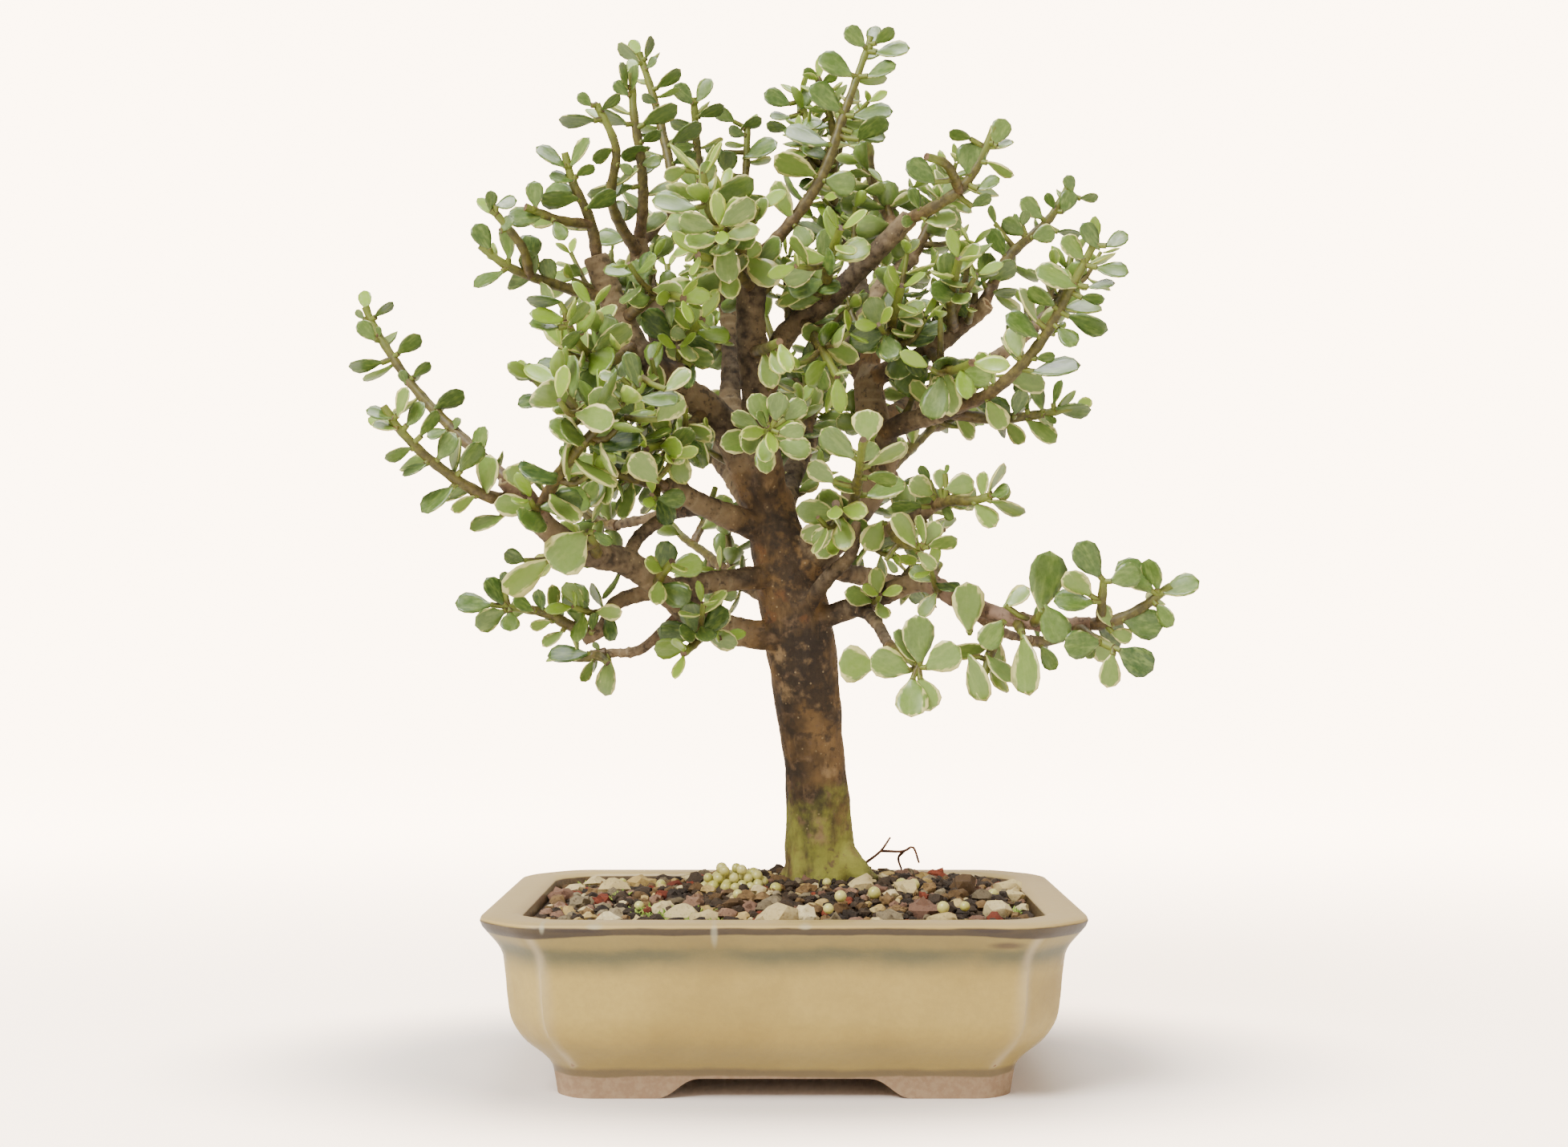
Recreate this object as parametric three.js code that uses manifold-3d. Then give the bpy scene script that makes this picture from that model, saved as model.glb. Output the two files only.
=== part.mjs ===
// A variegated dwarf jade bonsai in its glazed pot, in millimetres, +Z up.
// The origin is the middle of the whole plant's footprint, on the surface that the pot stands on.
import * as THREE from "three";
import { mergeVertices } from "three/addons/utils/BufferGeometryUtils.js";
import Module from "manifold-3d";

// Pot, from the table up
const POT_WIDTH = 165;
const POT_DEPTH = 128;
const POT_HEIGHT = 50;
const RIM_WIDTH = 10.5;
const CORNER_CUT = 14;
const CORNER_SOFT = 3.5;
const FOOT_HEIGHT = 5.6;
const FLOOR_TOP = 12;
const WALL_SLOPE = 5;
const ARCH_HALF_WIDTH = 35;
const ARCH_CURL = 12;
const SIDE_ARCH_HALF_WIDTH = 22;
const DRAIN_RADIUS = 6;
const DRAIN_SPACING = 62;
const GAP = 0.3;
const UNDERSIDE_INSET = 29;

// How far each height of the outer wall stands in from the rim
const OUTER_WALL = [
  { z: 0, inset: 20 },
  { z: 8.4, inset: 18.4 },
  { z: 11.5, inset: 15.8 },
  { z: 16, inset: 11.6 },
  { z: 21.5, inset: 8.8 },
  { z: 28, inset: 7.8 },
  { z: 35, inset: 7 },
  { z: 41, inset: 5.4 },
  { z: 45, inset: 2.4 },
  { z: 48.8, inset: 0 },
  { z: POT_HEIGHT, inset: 0.9 },
];

// Soil and stones
const SOIL_EDGE = 46.5;
const SOIL_MOUND = 6.5;
const MOUND_REACH = { across: 70, back: 56 };
const STONE_COUNT = 20;
const STONES_APART = 7;

// Where the eye stands: the plant is set out along its lines of sight, at a depth behind the pot's middle
const EYE_DISTANCE = 588;
const EYE_HEIGHT = 124;
const FOCAL_PIXELS = 2500;
const EYE_PIXEL = { across: 977.5, down: 800 };
const POT_SHIFT = { x: 3.5, y: -5 };

// How finely the stems are made: the length of a step along each, and how many sides go round it
const TRUNK_STEP = 12;
const BRANCH_STEP = 26;
const ROOT_STEP = 10;
const SHOOT_STEP = 19;
const TRUNK_SIDES = 12;
const THICK_SIDES = 7;
const THIN_SIDES = 5;
const STEM_SIDES = 4;
const THICK_BRANCH = 3.5;
const STEM_RADII = [1.5, 0.8];
const SEAT_GAP = 0.3;

function onSight([across, down, depth]) {
  const scale = (EYE_DISTANCE + depth) / FOCAL_PIXELS;
  return new THREE.Vector3(
    (across - EYE_PIXEL.across) * scale + POT_SHIFT.x,
    depth + POT_SHIFT.y,
    EYE_HEIGHT + (EYE_PIXEL.down - down) * scale,
  );
}

// The trunk and its woody branches: pixels of the route with its depth, and the radius at both ends
const TRUNK = {
  route: [
    [1023, 1128, 14],
    [1024, 1085, 14],
    [1022, 1060, 14],
    [1020, 1000, 13],
    [1010, 900, 12],
    [1002, 830, 11],
    [995, 780, 10],
    [978, 703, 9],
    [965, 655, 8],
    [960, 612, 8],
  ],
  radii: [12, 11, 9.8, 9.2, 9.7, 10.4, 10.6, 10, 8.4, 6.4],
};

const BRANCHES = {
  left_leader: { route: [[948, 625, 8], [900, 526, 0], [850, 485, -8]], radii: [5.4, 4.4] },
  left_cut: {
    route: [[858, 492, -6], [797, 440, -12], [775, 400, -14], [742, 318, -18]],
    radii: [4.2, 3.7],
  },
  left_inner: { route: [[848, 485, -8], [815, 395, 2], [795, 300, 12]], radii: [3.8, 2.9] },
  dark_middle: { route: [[945, 600, 12], [912, 520, 24], [912, 430, 36], [902, 348, 44]], radii: [4, 2.6] },
  middle_cut: {
    route: [[958, 625, 6], [945, 494, -6], [938, 436, -10], [936, 392, -12], [942, 318, -14]],
    radii: [5.6, 3.7],
  },
  middle_right: {
    route: [[948, 505, -6], [977, 421, -6], [1025, 380, -12], [1064, 344, -18], [1135, 270, -26]],
    radii: [3.6, 2.8],
  },
  right_leader: {
    route: [[990, 725, 8], [1028, 678, 4], [1060, 642, 3], [1100, 571, 5], [1088, 520, 8], [1081, 470, 10]],
    radii: [6.4, 4.2],
  },
  right_cut: { route: [[1081, 474, 10], [1159, 438, -2], [1195, 409, -8], [1233, 378, -14]], radii: [3.2, 2.4] },
  right_back: { route: [[1081, 474, 10], [1091, 402, 18], [1098, 358, 26], [1140, 320, 34]], radii: [3.2, 2.2] },
  hub_left: { route: [[1082, 480, 12], [1062, 440, 24], [1078, 390, 42], [1070, 340, 56]], radii: [3.2, 2.2] },
  right_low: { route: [[1092, 546, 6], [1122, 530, 0], [1159, 518, -6], [1195, 508, -12]], radii: [3.4, 2.6] },
  right_far: { route: [[1090, 530, 8], [1140, 500, 24], [1243, 445, 40], [1290, 408, 48]], radii: [3, 2] },
  left_top: { route: [[950, 660, 6], [888, 635, -4], [829, 605, -14]], radii: [4.4, 2.6] },
  left_stub: { route: [[856, 620, -9], [840, 592, -10]], radii: [2.8, 2.4] },
  left_ringed: { route: [[850, 615, -10], [834, 640, -14], [797, 669, -20], [784, 692, -24]], radii: [2, 1.8] },
  left_dark: { route: [[880, 634, -3], [838, 640, 8], [800, 648, 16], [760, 656, 24]], radii: [2, 1.4] },
  left_middle: {
    route: [[965, 718, 5], [888, 726, -6], [808, 739, -14], [765, 755, -18], [752, 782, -18], [727, 798, -20]],
    radii: [3.8, 1.8],
  },
  left_low: {
    route: [
      [975, 796, 6],
      [896, 782, 0],
      [855, 758, -10],
      [818, 726, -18],
      [776, 699, -26],
      [738, 691, -34],
      [690, 665, -42],
      [632, 594, -52],
    ],
    radii: [4.4, 3.2],
  },
  left_low_twig: { route: [[852, 762, -9], [821, 793, -4], [794, 812, 0], [748, 814, 4]], radii: [2, 1.3] },
  right_arm: {
    route: [[1000, 780, 8], [1066, 756, 0], [1149, 726, -14], [1199, 749, -26], [1285, 776, -36], [1362, 778, -42]],
    radii: [3.6, 1.9],
  },
  right_arm_twig: { route: [[1199, 749, -26], [1246, 786, -16], [1290, 799, -8]], radii: [1.8, 1.3] },
  right_drop: { route: [[1064, 757, 0], [1085, 768, -10], [1113, 812, -30]], radii: [2.2, 1.6] },
  right_ringed: { route: [[1000, 765, 4], [1033, 720, -6], [1060, 693, -10], [1068, 650, -16]], radii: [2.6, 1.6] },
  right_behind: { route: [[1010, 705, 12], [1086, 720, 28], [1116, 726, 36], [1166, 716, 48]], radii: [3.2, 1.8] },
  right_mid: { route: [[1045, 665, 4], [1098, 662, -10], [1150, 641, -20], [1171, 628, -24]], radii: [2.6, 1.6] },
  back_left: { route: [[962, 660, 12], [920, 600, 34], [882, 550, 54]], radii: [4.6, 2.8] },
  back_middle: { route: [[966, 660, 14], [985, 600, 38], [1010, 545, 56]], radii: [4.6, 2.8] },
  back_right: { route: [[1005, 712, 14], [1040, 655, 36], [1085, 610, 54]], radii: [4.2, 2.6] },
  back_low: { route: [[990, 770, 14], [950, 740, 34], [905, 715, 52]], radii: [3.4, 2.2] },
};

const ROOTS = {
  root_right: { route: [[1026, 1040, 13], [1056, 1074, 9], [1086, 1104, 6]], radii: [6, 3.4] },
  root_left: { route: [[1018, 1048, 14], [996, 1080, 15], [976, 1106, 18]], radii: [5.4, 3.2] },
  root_back: { route: [[1024, 1048, 16], [1028, 1066, 26], [1036, 1080, 36]], radii: [5, 3] },
};

// Leafy shoots: the stem's route from the wood to its tip, the length of its largest leaves, and its side twigs
const SHOOTS = {
  apex: {
    route: [[940, 326, -14], [985, 279, -20], [1024, 221, -24], [1051, 146, -24], [1075, 78, -22], [1086, 46, -22]],
    leaf: 10,
    radii: [2, 0.9],
  },
  top_left: { route: [[796, 306, 12], [802, 250, 6], [799, 199, 2], [790, 140, 0], [788, 92, 0]], leaf: 9 },
  top_left_twig: { route: [[798, 322, 10], [762, 250, -8], [768, 185, -14], [744, 130, -16]], leaf: 8.5 },
  top_left_back: {
    route: [[797, 306, 13], [838, 250, 24], [826, 165, 30], [812, 112, 32], [797, 66, 32]],
    leaf: 8.5,
  },
  left_crown: {
    route: [[745, 324, -18], [736, 275, -24], [713, 224, -30], [704, 190, -32]],
    leaf: 9,
    twigs: [[[736, 279, -24], [700, 275, -30], [655, 258, -36]]],
  },
  left_upper: {
    route: [[768, 375, -15], [699, 357, -24], [633, 332, -32], [598, 306, -34]],
    leaf: 9.5,
    twigs: [[[660, 344, -29], [652, 310, -36], [620, 268, -40]]],
  },
  left_near: { route: [[790, 430, -13], [752, 452, -38], [722, 430, -52], [706, 398, -58]], leaf: 12 },
  left_side: { route: [[856, 492, -8], [790, 508, -16], [733, 520, -24], [699, 500, -28], [662, 470, -30]], leaf: 9.5 },
  pink: {
    route: [[668, 642, -46], [705, 580, -62], [745, 533, -72], [776, 500, -76], [800, 470, -76]],
    leaf: 12.5,
    radii: [1.8, 1],
    twigs: [[[745, 533, -72], [714, 506, -78], [696, 478, -80]]],
  },
  left_tip_low: { route: [[652, 622, -48], [606, 618, -56], [541, 577, -64], [498, 535, -68], [478, 506, -70]], leaf: 9 },
  left_tip_high: { route: [[642, 606, -50], [575, 545, -44], [513, 479, -40], [463, 401, -38], [456, 383, -38]], leaf: 8.5 },
  left_top_tip: { route: [[836, 608, -13], [777, 593, -24], [735, 575, -34], [704, 562, -40]], leaf: 9.5 },
  left_middle_tip: { route: [[736, 790, -19], [690, 771, -22], [650, 752, -26], [606, 742, -28]], leaf: 10 },
  left_front: { route: [[744, 694, -33], [715, 690, -54], [690, 696, -66], [668, 706, -72]], leaf: 14.5 },
  left_drop: {
    route: [[756, 814, 3], [725, 820, 4], [698, 816, 6]],
    leaf: 10,
    twigs: [[[742, 817, 3], [752, 845, -4], [756, 862, -8]]],
  },
  left_hang: { route: [[880, 780, -4], [868, 800, -20], [852, 815, -30]], leaf: 9.5 },
  left_inside: { route: [[812, 738, -13], [826, 716, -28], [838, 700, -34]], leaf: 9.5 },
  left_dark_tip: { route: [[770, 655, 22], [744, 650, 30], [714, 630, 36]], leaf: 9.5 },
  left_inner_side: { route: [[820, 408, 0], [850, 424, -18], [876, 398, -30]], leaf: 10 },
  left_cut_side: { route: [[778, 398, -14], [822, 366, -34], [852, 372, -44]], leaf: 9.5 },
  left_leader_low: { route: [[880, 512, -4], [840, 548, -20], [806, 560, -34]], leaf: 10.5 },
  left_back_side: { route: [[806, 350, 8], [760, 380, 30], [720, 372, 44]], leaf: 9 },
  middle_back: {
    route: [[903, 354, 44], [885, 280, 48], [870, 193, 48], [865, 122, 46]],
    leaf: 9,
    twigs: [[[888, 290, 48], [926, 235, 58], [932, 160, 60]]],
  },
  near_pale: { route: [[940, 334, -14], [912, 296, -36], [884, 262, -48], [876, 216, -52]], leaf: 12 },
  near_pale_low: { route: [[938, 360, -13], [905, 330, -36], [870, 318, -48]], leaf: 11 },
  apex_back: {
    route: [[1071, 346, 56], [1042, 260, 50], [1012, 170, 44], [996, 116, 42]],
    leaf: 9,
    twigs: [[[1036, 245, 49], [1040, 170, 34], [1020, 98, 26]]],
  },
  apex_right: { route: [[1118, 288, -23], [1092, 238, -6], [1079, 200, 4], [1070, 160, 8]], leaf: 9.5 },
  top_right: {
    route: [[1131, 274, -26], [1165, 258, -34], [1200, 233, -38], [1222, 200, -40], [1240, 158, -42]],
    leaf: 10,
    twigs: [[[1196, 237, -38], [1180, 205, -50], [1155, 195, -56]]],
  },
  right_cut_tip: { route: [[1222, 387, -12], [1258, 320, -2], [1309, 272, 6], [1336, 226, 8]], leaf: 9.5 },
  right_long: {
    route: [[1186, 511, -11], [1240, 486, -24], [1294, 431, -34], [1334, 362, -42], [1364, 304, -46]],
    leaf: 11,
    radii: [2, 1],
  },
  right_long_low: { route: [[1176, 513, -9], [1235, 522, -10], [1300, 516, -10], [1342, 506, -12]], leaf: 9.5 },
  right_far_tip: { route: [[1284, 412, 47], [1322, 370, 56], [1336, 318, 60]], leaf: 9 },
  rosette_high: { route: [[940, 440, -10], [956, 434, -32], [972, 426, -50]], leaf: 11, open: true },
  rosette_low: { route: [[948, 545, -2], [953, 542, -26], [960, 534, -46]], leaf: 12, open: true },
  front_shoot: { route: [[1062, 638, 2], [1068, 612, -30], [1072, 578, -50], [1076, 548, -60]], leaf: 12.5 },
  front_shoot_low: { route: [[1054, 652, 2], [1048, 640, -22], [1042, 628, -34]], leaf: 11 },
  right_mid_tip: { route: [[1166, 630, -23], [1200, 618, -34], [1240, 618, -40], [1258, 600, -42]], leaf: 10.5 },
  right_mid_low: { route: [[1110, 658, -13], [1130, 684, -32], [1152, 672, -42]], leaf: 11 },
  arm_tip: {
    route: [[1352, 779, -41], [1385, 775, -44], [1420, 760, -46], [1460, 730, -48]],
    leaf: 11.5,
    twigs: [[[1372, 777, -43], [1374, 740, -52], [1366, 700, -56]]],
  },
  arm_tip_low: { route: [[1340, 781, -40], [1378, 806, -56], [1404, 830, -62]], leaf: 10.5 },
  arm_leaf_high: { route: [[1290, 776, -37], [1298, 748, -52], [1306, 712, -58]], leaf: 14 },
  arm_leaf_near: { route: [[1206, 752, -27], [1204, 762, -44], [1198, 758, -56]], leaf: 13 },
  arm_leaf_low: { route: [[1268, 775, -34], [1274, 800, -46], [1280, 832, -52]], leaf: 13 },
  arm_twig_tip: { route: [[1284, 799, -9], [1307, 800, -5], [1328, 794, -3]], leaf: 9.5 },
  arm_twig_hang: { route: [[1246, 780, -17], [1236, 812, -24], [1226, 846, -28]], leaf: 11 },
  drop_rosette: { route: [[1109, 806, -27], [1126, 818, -44], [1146, 829, -58]], leaf: 14.5, open: true },
  behind_tip: { route: [[1158, 718, 47], [1185, 702, 54], [1200, 668, 58]], leaf: 10 },
  right_back_tip: { route: [[1137, 323, 33], [1164, 270, 34], [1178, 222, 36]], leaf: 9.5 },
  right_inner: { route: [[1126, 452, 2], [1112, 410, -20], [1124, 356, -34]], leaf: 10 },
  right_cut_side: { route: [[1190, 414, -7], [1186, 370, -24], [1196, 322, -34]], leaf: 10 },
  right_cut_low: { route: [[1160, 438, -2], [1186, 462, -30], [1212, 452, -44]], leaf: 11.5 },
  middle_right_low: { route: [[1002, 400, -9], [1026, 438, -30], [1044, 470, -38]], leaf: 10.5 },
  middle_right_top: { route: [[1030, 376, -12], [1034, 326, -36], [1048, 284, -46]], leaf: 10 },
  back_high: {
    route: [[1004, 556, 52], [1018, 470, 72], [1030, 400, 82], [1036, 320, 84]],
    leaf: 9.5,
    twigs: [
      [[1014, 500, 66], [970, 440, 82], [950, 380, 88]],
      [[1026, 430, 78], [1070, 400, 90], [1090, 356, 92]],
      [[1010, 516, 62], [1000, 556, 80], [984, 590, 88]],
    ],
  },
  back_left_tip: {
    route: [[888, 560, 50], [862, 480, 68], [838, 400, 78], [832, 330, 82]],
    leaf: 9.5,
    twigs: [
      [[870, 504, 63], [815, 470, 80], [770, 430, 86]],
      [[848, 432, 74], [868, 380, 88], [880, 340, 92]],
      [[876, 524, 58], [835, 548, 76], [798, 540, 84]],
    ],
  },
  back_right_tip: {
    route: [[1078, 617, 50], [1130, 565, 68], [1172, 520, 78], [1196, 460, 80]],
    leaf: 9.5,
    twigs: [
      [[1110, 585, 61], [1140, 630, 80], [1182, 640, 86]],
      [[1160, 535, 76], [1214, 560, 84], [1250, 550, 86]],
      [[1140, 555, 71], [1120, 500, 86], [1125, 456, 92]],
    ],
  },
  back_low_tip: {
    route: [[913, 719, 48], [880, 690, 66], [850, 668, 78], [822, 636, 82]],
    leaf: 9.5,
    twigs: [
      [[888, 697, 61], [880, 735, 78], [862, 758, 84]],
      [[864, 678, 73], [882, 640, 88], [892, 608, 92]],
    ],
  },
};

// Shape of one leaf, as shares of its length: along, and half across
const LEAF_SIDE = [
  [0.4, 0.28],
  [0.8, 0.34],
];
const LEAF_MIDDLE = 0.6;
const LEAF_THICKNESS = 0.2;
const LEAF_SPACING = 1.96;
const ROOT_SHARE = 0.3;
const ROOT_OUT = 0.35;
const LEAF_CLEARANCE = 0.35;
const WOOD_CLEARANCE = 1.7;
const BARE_START = 3.5;
const BARE_TWIG = 5;

const wasm = await Module();
wasm.setup();

function randomFrom(start) {
  let seed = start;
  return () => {
    seed = (seed * 16807) % 2147483647;
    return seed / 2147483647;
  };
}

function solid(geometry) {
  const bare = geometry.clone();
  bare.deleteAttribute("normal");
  bare.deleteAttribute("uv");
  const merged = mergeVertices(bare, 1e-4);
  return new wasm.Manifold(
    new wasm.Mesh({
      numProp: 3,
      vertProperties: new Float32Array(merged.attributes.position.array),
      triVerts: new Uint32Array(merged.index.array),
    }),
  );
}

function joined(solids) {
  return wasm.Manifold.union(solids);
}

function largestBody(made) {
  return made.decompose().reduce((best, body) => (body.volume() > best.volume() ? body : best));
}

function geometryOf(made) {
  const { vertProperties, triVerts } = made.getMesh();
  const geometry = new THREE.BufferGeometry();
  geometry.setAttribute("position", new THREE.BufferAttribute(new Float32Array(vertProperties), 3));
  geometry.setIndex(new THREE.BufferAttribute(new Uint32Array(triVerts), 1));
  geometry.computeVertexNormals();
  return geometry;
}

// A closed skin over rings of equal count, from the first ring to the last
function skin(rings) {
  const count = rings[0].length;
  const positions = rings.flat().flatMap((point) => [point.x, point.y, point.z]);
  const index = [];
  for (let level = 0; level + 1 < rings.length; level++) {
    for (let i = 0; i < count; i++) {
      const a = level * count + i;
      const b = level * count + ((i + 1) % count);
      index.push(a, b, b + count, a, b + count, a + count);
    }
  }
  const capEnd = (level, facesBack) => {
    const middle = new THREE.Vector3();
    rings[level].forEach((point) => middle.addScaledVector(point, 1 / count));
    const centre = positions.length / 3;
    positions.push(middle.x, middle.y, middle.z);
    for (let i = 0; i < count; i++) {
      const a = level * count + i;
      const b = level * count + ((i + 1) % count);
      index.push(...(facesBack ? [centre, b, a] : [centre, a, b]));
    }
  };
  capEnd(0, true);
  capEnd(rings.length - 1, false);
  const geometry = new THREE.BufferGeometry();
  geometry.setAttribute("position", new THREE.Float32BufferAttribute(positions, 3));
  geometry.setIndex(index);
  return geometry;
}

// The rim's plan: a rectangle with its corners cut and softened, seen from above
function outline(inset, z) {
  const halfWidth = POT_WIDTH / 2 - inset;
  const halfDepth = POT_DEPTH / 2 - inset;
  const cut = CORNER_CUT - inset * 0.38;
  const corners = [
    [halfWidth, cut - halfDepth],
    [halfWidth, halfDepth - cut],
    [halfWidth - cut, halfDepth],
    [cut - halfWidth, halfDepth],
    [-halfWidth, halfDepth - cut],
    [-halfWidth, cut - halfDepth],
    [cut - halfWidth, -halfDepth],
    [halfWidth - cut, -halfDepth],
  ].map(([x, y]) => new THREE.Vector2(x, y));
  const points = [];
  corners.forEach((corner, i) => {
    const before = corners[(i + 7) % 8];
    const after = corners[(i + 1) % 8];
    const from = corner.clone().add(before.clone().sub(corner).setLength(CORNER_SOFT));
    const to = corner.clone().add(after.clone().sub(corner).setLength(CORNER_SOFT));
    const bend = corner.clone().multiplyScalar(2).add(from).add(to).divideScalar(4);
    points.push(from, bend, to);
  });
  return points.map((p) => new THREE.Vector3(p.x + POT_SHIFT.x, p.y + POT_SHIFT.y, z));
}

const INNER_WALL = [
  { z: POT_HEIGHT, inset: RIM_WIDTH },
  { z: POT_HEIGHT - 2, inset: RIM_WIDTH + 0.8 },
  { z: 30, inset: RIM_WIDTH + 2 },
  { z: FLOOR_TOP + 5, inset: RIM_WIDTH + WALL_SLOPE },
  { z: FLOOR_TOP, inset: RIM_WIDTH + WALL_SLOPE + 5 },
];

// The opening between two feet, as an arch with a curled shoulder at each end
function arch(halfWidth, thickness) {
  const shape = new THREE.Shape();
  shape.moveTo(-halfWidth, -1);
  shape.lineTo(-halfWidth, 0);
  shape.bezierCurveTo(-halfWidth + 4, 0.4, -halfWidth + 4, 4.6, -halfWidth + ARCH_CURL, FOOT_HEIGHT);
  shape.lineTo(halfWidth - ARCH_CURL, FOOT_HEIGHT);
  shape.bezierCurveTo(halfWidth - 4, 4.6, halfWidth - 4, 0.4, halfWidth, 0);
  shape.lineTo(halfWidth, -1);
  shape.closePath();
  const made = new THREE.ExtrudeGeometry(shape, { depth: thickness, bevelEnabled: false, curveSegments: 5 });
  made.translate(0, 0, -thickness / 2);
  made.rotateX(Math.PI / 2);
  return made;
}

function pot() {
  const levels = [...OUTER_WALL, ...INNER_WALL];
  const shell = solid(skin(levels.map(({ z, inset }) => outline(inset, z))));
  const underside = solid(skin([outline(UNDERSIDE_INSET, -1), outline(UNDERSIDE_INSET, FOOT_HEIGHT)]));
  const front = arch(ARCH_HALF_WIDTH, 2 * POT_DEPTH).translate(POT_SHIFT.x, POT_SHIFT.y, 0);
  const side = arch(SIDE_ARCH_HALF_WIDTH, 2 * POT_WIDTH).rotateZ(Math.PI / 2).translate(POT_SHIFT.x, POT_SHIFT.y, 0);
  const drains = [-1, 1].map((end) => {
    const hole = new THREE.CylinderGeometry(DRAIN_RADIUS, DRAIN_RADIUS, 3 * FLOOR_TOP, 12);
    hole.rotateX(Math.PI / 2);
    return solid(hole.translate(POT_SHIFT.x + (end * DRAIN_SPACING) / 2, POT_SHIFT.y, 0));
  });
  return shell.subtract(joined([underside, solid(front), solid(side), ...drains]));
}

// A tapering stem along a smooth route: its middles, radii, headings and a side that turns as little as it can
function stemPath(points, radii, stepLength, leastSteps, spin = 0) {
  const curve = new THREE.CatmullRomCurve3(points, false, "centripetal");
  const steps = Math.max(leastSteps, Math.round(curve.getLength() / stepLength));
  const middles = curve.getSpacedPoints(steps);
  const side = new THREE.Vector3(0, 1, 0);
  const rings = middles.map((middle, i) => {
    const ahead = middles[Math.min(i + 1, steps)].clone().sub(middles[Math.max(i - 1, 0)]).normalize();
    side.addScaledVector(ahead, -side.dot(ahead)).normalize();
    const place = (i / steps) * (radii.length - 1);
    const before = Math.min(Math.floor(place), radii.length - 2);
    const radius = THREE.MathUtils.lerp(radii[before], radii[before + 1], place - before);
    return { middle, ahead, radius, side: side.clone().applyAxisAngle(ahead, spin) };
  });
  return rings;
}

function tube(path, sides, grow = 0) {
  const rings = path.map(({ middle, ahead, radius, side }, i) => {
    const up = new THREE.Vector3().crossVectors(ahead, side);
    const centre = middle.clone().addScaledVector(ahead, i === 0 ? -grow : i === path.length - 1 ? grow : 0);
    return Array.from({ length: sides }, (_, k) => {
      const turn = (2 * Math.PI * (k + 0.5)) / sides;
      return centre
        .clone()
        .addScaledVector(side, Math.cos(turn) * (radius + grow))
        .addScaledVector(up, Math.sin(turn) * (radius + grow));
    });
  });
  return solid(skin(rings));
}

function routeOf(route) {
  return route.map(onSight);
}

function woodPath({ route, radii }, stepLength) {
  return stemPath(routeOf(route), radii, stepLength, route.length - 1);
}

const trunkPath = woodPath(TRUNK, TRUNK_STEP);
const branchPaths = Object.values(BRANCHES).map((branch) => woodPath(branch, BRANCH_STEP));
const rootPaths = Object.values(ROOTS).map((root) => woodPath(root, ROOT_STEP));

function wood(grow = 0) {
  return joined([
    tube(trunkPath, TRUNK_SIDES, grow),
    ...branchPaths.map((path) => tube(path, path[0].radius > THICK_BRANCH ? THICK_SIDES : THIN_SIDES, grow)),
    ...rootPaths.map((path) => tube(path, THICK_SIDES, grow)),
  ]);
}

// The soil's surface: level at the wall, raised round the trunk
const TRUNK_FOOT = onSight(TRUNK.route[1]);

function soilHeight(x, y) {
  const across = (x - TRUNK_FOOT.x) / MOUND_REACH.across;
  const back = (y - TRUNK_FOOT.y) / MOUND_REACH.back;
  return SOIL_EDGE + SOIL_MOUND * Math.max(0, 1 - across * across - back * back);
}

function onSoil([across, down]) {
  let depth = -40;
  for (let i = 0; i < 12; i++) {
    const point = onSight([across, down, depth]);
    const drop = EYE_HEIGHT - soilHeight(point.x, point.y);
    depth = (drop * FOCAL_PIXELS) / (down - EYE_PIXEL.down) - EYE_DISTANCE;
  }
  return onSight([across, down, depth]);
}

// The stones that show, by pixel and half their width
const NAMED_STONES = [
  [980, 1134, 6],
  [1072, 1108, 4.4],
  [1243, 1137, 5.4],
  [1302, 1126, 5],
  [1152, 1126, 4.4],
  [1200, 1110, 4.6],
  [766, 1114, 4.4],
  [858, 1130, 4.6],
  [915, 1094, 6],
  [700, 1120, 3.4],
  [1048, 1136, 4.2],
];

function stone(middle, radius, random) {
  const geometry = new THREE.IcosahedronGeometry(radius, 0);
  const merged = mergeVertices(geometry.deleteAttribute("normal").deleteAttribute("uv"), 1e-3);
  const place = merged.getAttribute("position");
  for (let i = 0; i < place.count; i++) {
    const swell = 0.82 + 0.3 * random();
    place.setXYZ(i, place.getX(i) * swell, place.getY(i) * swell, place.getZ(i) * swell * 0.8);
  }
  merged.rotateZ(random() * Math.PI);
  return merged.translate(middle.x, middle.y, middle.z);
}

function stones() {
  const random = randomFrom(41);
  const reach = { x: POT_WIDTH / 2 - RIM_WIDTH - 2.5, y: POT_DEPTH / 2 - RIM_WIDTH - 2.5 };
  const middles = NAMED_STONES.map(([across, down, radius]) => ({ point: onSoil([across, down]), radius }));
  while (middles.length < STONE_COUNT) {
    const point = new THREE.Vector3((2 * random() - 1) * reach.x, (2 * random() - 1) * reach.y, 0);
    point.x += POT_SHIFT.x;
    point.y += POT_SHIFT.y;
    point.z = soilHeight(point.x, point.y);
    const radius = 2.6 + 2.2 * random();
    const free = middles.every((other) => Math.hypot(other.point.x - point.x, other.point.y - point.y) > STONES_APART);
    if (free) middles.push({ point, radius });
  }
  return middles.map(({ point, radius }) => {
    const limit = { x: reach.x - radius, y: reach.y - radius };
    const x = THREE.MathUtils.clamp(point.x - POT_SHIFT.x, -limit.x, limit.x) + POT_SHIFT.x;
    const y = THREE.MathUtils.clamp(point.y - POT_SHIFT.y, -limit.y, limit.y) + POT_SHIFT.y;
    return stone(new THREE.Vector3(x, y, soilHeight(x, y) + 0.1 * radius), radius, random);
  });
}

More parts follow.
